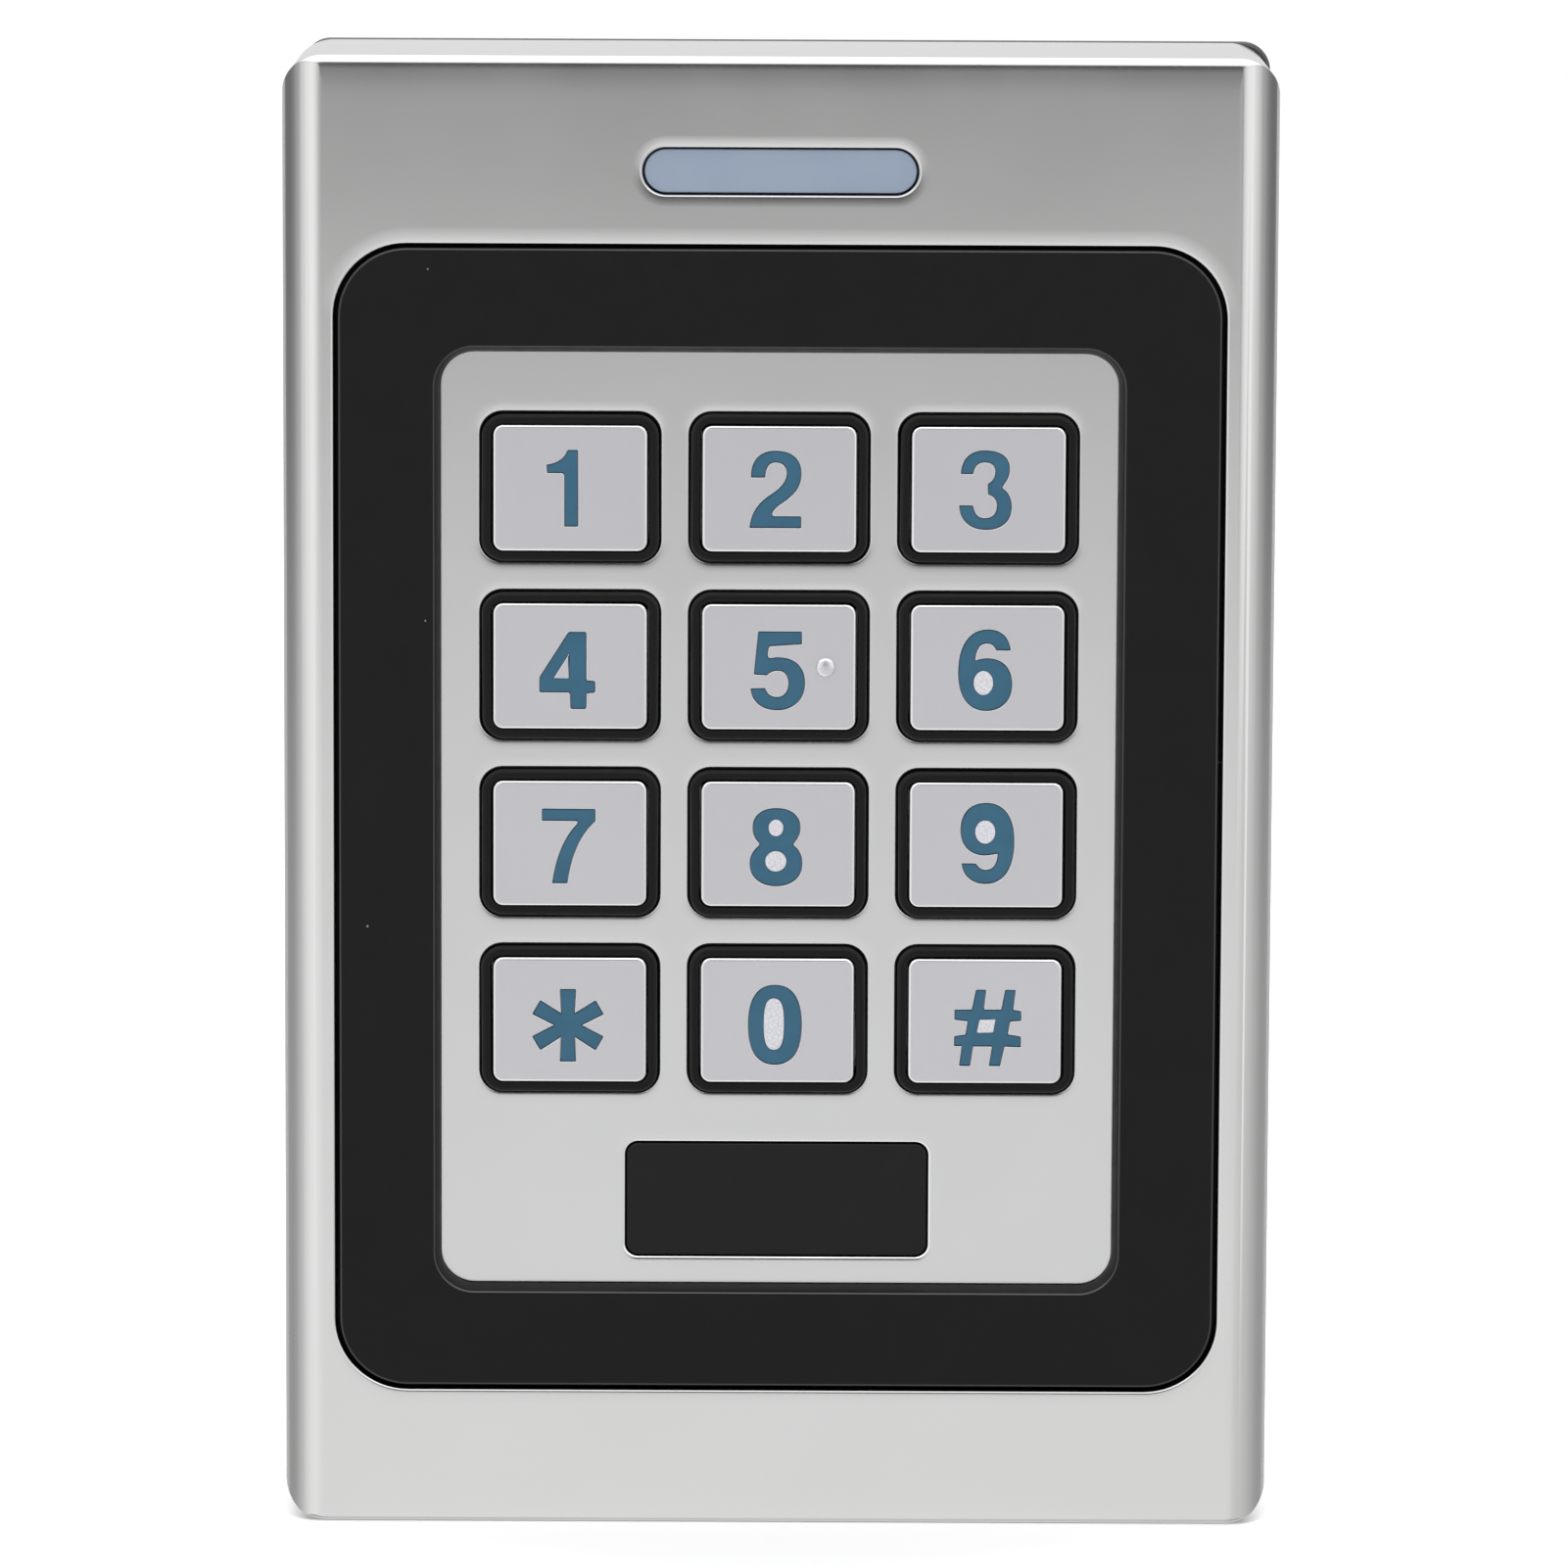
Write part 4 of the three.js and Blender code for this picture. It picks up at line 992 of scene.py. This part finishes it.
def cable_grommet():
    """Rubber grommet with a flange on each side of the cover and a softly rounded bore."""
    flange, neck, bore = INLET.width / 2, 8.0, 4.5
    front, back = INLET.front, INLET.back
    outer = [
        (0.2, front),
        (0, front + 0.2),
        (0, front + 1),
        (flange - neck, front + 1),
        (flange - neck, back - 1),
        (0, back - 1),
        (0, back - 0.35),
        (0.1, back - 0.1),
        (0.35, back),
    ]
    inner = [(-0.4, front), (0, front + 0.4), (0, back - 0.5), (-0.15, back - 0.15), (-0.5, back)]
    loops = [(disc(flange, INLET.x, INLET.z, 16), outer), (disc(bore, INLET.x, INLET.z, 16), inner)]
    obj = as_object("rubber_grommet", sweep(loops))
    place_piece(obj, BODY, MATERIALS["black_silicone"], ["cable_grommet"])


def lock_screw():
    """Button-headed security screw with a six-sided socket."""
    depth = LOCK.front + LOCK.width / 2
    bottom = LOCK.bottom
    head, shank = LOCK.width / 2, 1.4
    underside = bottom + 1.1
    outline = disc(head, 0, depth, 12)
    profile = [
        (head - shank, LOCK.top),
        (head - shank, underside),
        (0, underside),
        (0, bottom + 0.4),
        (0.15, bottom + 0.12),
        (0.5, bottom),
    ]
    turns = [math.tau * i / 6 for i in range(6)]
    reach = SOCKET.radius
    socket = [(reach * math.cos(a), depth + reach * math.sin(a)) for a in turns]
    pocket = [(0, bottom + SOCKET.depth), (0, bottom + 0.1), (-0.1, bottom)]
    bm = sweep([(outline, profile)], [(drawn(socket), pocket)], place=from_below)
    screw = as_object("security_screw", bm)
    place_piece(screw, BODY, MATERIALS["screw_steel"], ["lock_screw"])


def finish_cad_parts():
    """The parts that no finished piece replaces keep their CAD shape and get a real finish."""
    slots = {row["node"]: row["material_slot"] for row in frame["record"]["subparts"]}
    replaced = {"front_shell", "bezel_frame", "keypad_plate", "keymat", "sensor_window", "led_lens"}
    replaced |= {"wall_plate", "lock_screw", "cable_grommet"}
    for name, obj in frame["nodes"].items():
        if name in replaced or name.startswith("key_"):
            continue
        obj.data.materials.clear()
        obj.data.materials.append(MATERIALS[slots[name]])


# ------------------------------------------------------------------------------------
# Studio

CAMERA = SimpleNamespace(
    distance=0.768,
    elevation=math.radians(8.15),
    roll=math.radians(0.25),
    lens=217.7,
    target=Vector((0.00047, FRONT_Y, 0.00114)),
)


def make_camera():
    data = bpy.data.cameras.new("camera")
    data.lens = CAMERA.lens
    data.sensor_width = 36
    data.clip_end = 20
    camera = bpy.data.objects.new("camera", data)
    bpy.context.scene.collection.objects.link(camera)
    ahead = Vector((0, math.cos(CAMERA.elevation), -math.sin(CAMERA.elevation)))
    level = ahead.cross(Vector((0, 0, 1))).normalized()
    upward = level.cross(ahead)
    right = math.cos(CAMERA.roll) * level + math.sin(CAMERA.roll) * upward
    up = math.cos(CAMERA.roll) * upward - math.sin(CAMERA.roll) * level
    turn = Matrix((right, up, -ahead)).transposed().to_4x4()
    camera.matrix_world = Matrix.Translation(CAMERA.target - ahead * CAMERA.distance) @ turn
    bpy.context.scene.camera = camera


def softbox(name, place, aim, width, height, radiance):
    """A soft area light that isn't itself seen in reflections."""
    data = bpy.data.lights.new(name, "AREA")
    data.shape = "RECTANGLE"
    data.size = width
    data.size_y = height
    data.energy = radiance * math.pi * width * height
    light = bpy.data.objects.new(name, data)
    bpy.context.scene.collection.objects.link(light)
    turn = (Vector(aim) - Vector(place)).to_track_quat("-Z", "Y").to_matrix().to_4x4()
    light.matrix_world = Matrix.Translation(place) @ turn
    light.visible_camera = False
    light.visible_glossy = False


def floor(height):
    mesh = bpy.data.meshes.new("floor")
    left, right, near, far = -4.0, 4.0, -4.0, 1.7
    plan = [(left, near), (right, near), (right, far), (left, far)]
    mesh.from_pydata([(x, y, height) for x, y in plan], [], [(0, 1, 2, 3)])
    mesh.materials.append(floor_material())
    obj = bpy.data.objects.new("floor", mesh)
    bpy.context.scene.collection.objects.link(obj)
    obj.visible_glossy = False


# Radiance of the studio as the metal mirrors it: degrees from the front, then below eye level on
# the left and on the right, then above it.
RING = [
    (0, 1.17, 1.17, 0.01),
    (7, 1.17, 1.15, 0.01),
    (12, 1.2, 1.08, 1.15),
    (30, 1.3, 0.95, 1.42),
    (48, 1.25, 0.86, 1.35),
    (60, 1.1, 0.8, 1.05),
    (75, 0.8, 0.72, 0.55),
    (90, 0.6, 0.6, 0.32),
    (104, 0.5, 0.52, 0.22),
    (122, 0.5, 0.52, 0.22),
    (138, 0.6, 0.62, 0.38),
    (155, 0.9, 0.9, 0.9),
    (180, 0.9, 0.9, 0.9),
]
# Elevations in degrees: where the lower level gives way to the upper one, ahead and to the sides,
# and where the ceiling comes in.
CARD_FOOT = -3.7
SIDE_FOOT = -6.5
CEILING = SimpleNamespace(starts=31, full=37, radiance=1.8)


def eased(value, start, end):
    share = min(max((value - start) / (end - start), 0), 1)
    return share * share * (3 - 2 * share)


def studio_radiance(azimuth, elevation):
    for (a, *near), (b, *far) in zip(RING, RING[1:]):
        if a <= abs(azimuth) <= b:
            share = eased(abs(azimuth), a, b)
            left, right, level = (u + (v - u) * share for u, v in zip(near, far))
            break
    low = left if azimuth < 0 else right
    foot = CARD_FOOT + (SIDE_FOOT - CARD_FOOT) * eased(abs(azimuth), 5, 12)
    radiance = low + (level - low) * eased(elevation, foot - 0.7, foot + 0.7)
    return radiance + (CEILING.radiance - radiance) * eased(elevation, CEILING.starts, CEILING.full)


def reflected_studio(radius=3.2, turn_step=2):
    """The room as the reader mirrors it: a dome that shows only in reflections."""
    azimuths = range(-180, 180, turn_step)
    elevations = [-89, -60, -40, -20, -12, -9, *(-8 + i / 4 for i in range(24))]
    elevations += [-1, 0, 10, 20, 31, 33, 35, 37, 50, 70, 89]
    corners, radiances, faces = [], [], []
    for elevation in elevations:
        for azimuth in azimuths:
            a, e = math.radians(azimuth), math.radians(elevation)
            across = radius * math.cos(e)
            corners.append((across * math.sin(a), -across * math.cos(a), radius * math.sin(e)))
            radiances.append(studio_radiance(azimuth, elevation))
    count = len(azimuths)
    for row in range(len(elevations) - 1):
        for i in range(count):
            j = (i + 1) % count
            low, high = row * count, (row + 1) * count
            faces.append((low + i, low + j, high + j, high + i))
    faces += [tuple(range(count)), tuple(range(len(corners) - count, len(corners)))]
    mesh = bpy.data.meshes.new("reflected_studio")
    mesh.from_pydata(corners, [], faces)
    attribute = mesh.color_attributes.new("radiance", "FLOAT_COLOR", "POINT")
    for item, radiance in zip(attribute.data, radiances):
        item.color = (radiance, radiance, radiance, 1)
    m = Nodes("reflected_studio")
    m.set(Base_Color=(0, 0, 0, 1), Specular_IOR_Level=0.0, Emission_Strength=1.0)
    tint = m.node("ShaderNodeAttribute", attribute_name="radiance").outputs["Color"]
    m.link(tint, "Emission Color")
    m.material.cycles.emission_sampling = "NONE"
    mesh.materials.append(m.material)
    dome = bpy.data.objects.new("reflected_studio", mesh)
    bpy.context.scene.collection.objects.link(dome)
    dome.visible_camera = False
    dome.visible_diffuse = False
    dome.visible_transmission = False
    dome.visible_shadow = False


def floor_material():
    m = Nodes("pale_floor")
    m.set(Roughness=0.7)
    tone = m.blend(m.noise(3, detail=2.0), (0.86, 0.86, 0.86), (0.90, 0.90, 0.90))
    m.link(tone, "Base Color")
    return m.material


def make_world():
    """Even white where the camera looks past the floor, and a dim room for everything else."""
    world = bpy.data.worlds.new("studio")
    world.use_nodes = True
    tree = world.node_tree
    background = tree.nodes["Background"]
    background.inputs["Color"].default_value = (0.25, 0.25, 0.255, 1)
    white = tree.nodes.new("ShaderNodeBackground")
    white.inputs["Color"].default_value = (1, 1, 1, 1)
    rays = tree.nodes.new("ShaderNodeLightPath")
    mix = tree.nodes.new("ShaderNodeMixShader")
    tree.links.new(rays.outputs["Is Camera Ray"], mix.inputs["Fac"])
    tree.links.new(background.outputs["Background"], mix.inputs[1])
    tree.links.new(white.outputs["Background"], mix.inputs[2])
    tree.links.new(mix.outputs["Shader"], tree.nodes["World Output"].inputs["Surface"])
    bpy.context.scene.world = world


def make_studio():
    scene = bpy.context.scene
    scene.view_settings.view_transform = "Standard"
    make_world()
    floor(CAD_BOX[0].z - 0.00002)
    reflected_studio()
    softbox("overhead", (0, -0.3, 0.85), (0, -0.3, 0), 1.8, 2.1, 1.8)
    softbox("floor_wash", (0, 1.2, 1.0), (0, 1.2, 0), 2.4, 1.6, 1.9)
    softbox("left_front", (-0.62, -0.8, 0.3), (0, 0, 0), 0.6, 0.75, 2.4)
    softbox("right_front", (0.62, -0.8, 0.3), (0, 0, 0), 0.6, 0.75, 2.4)


# ------------------------------------------------------------------------------------
# The reader

make_camera()
KEYS = key_places()
front_shell()
bezel()
key_plate(KEYS)
key_mat(KEYS)
sensor_pane()
status_lens()
for label, key in KEYS.items():
    key_cap(label, key)
    key_figure(label, key)
key_dot(KEYS["5"])
wall_plate()
cable_grommet()
lock_screw()
finish_cad_parts()
make_studio()
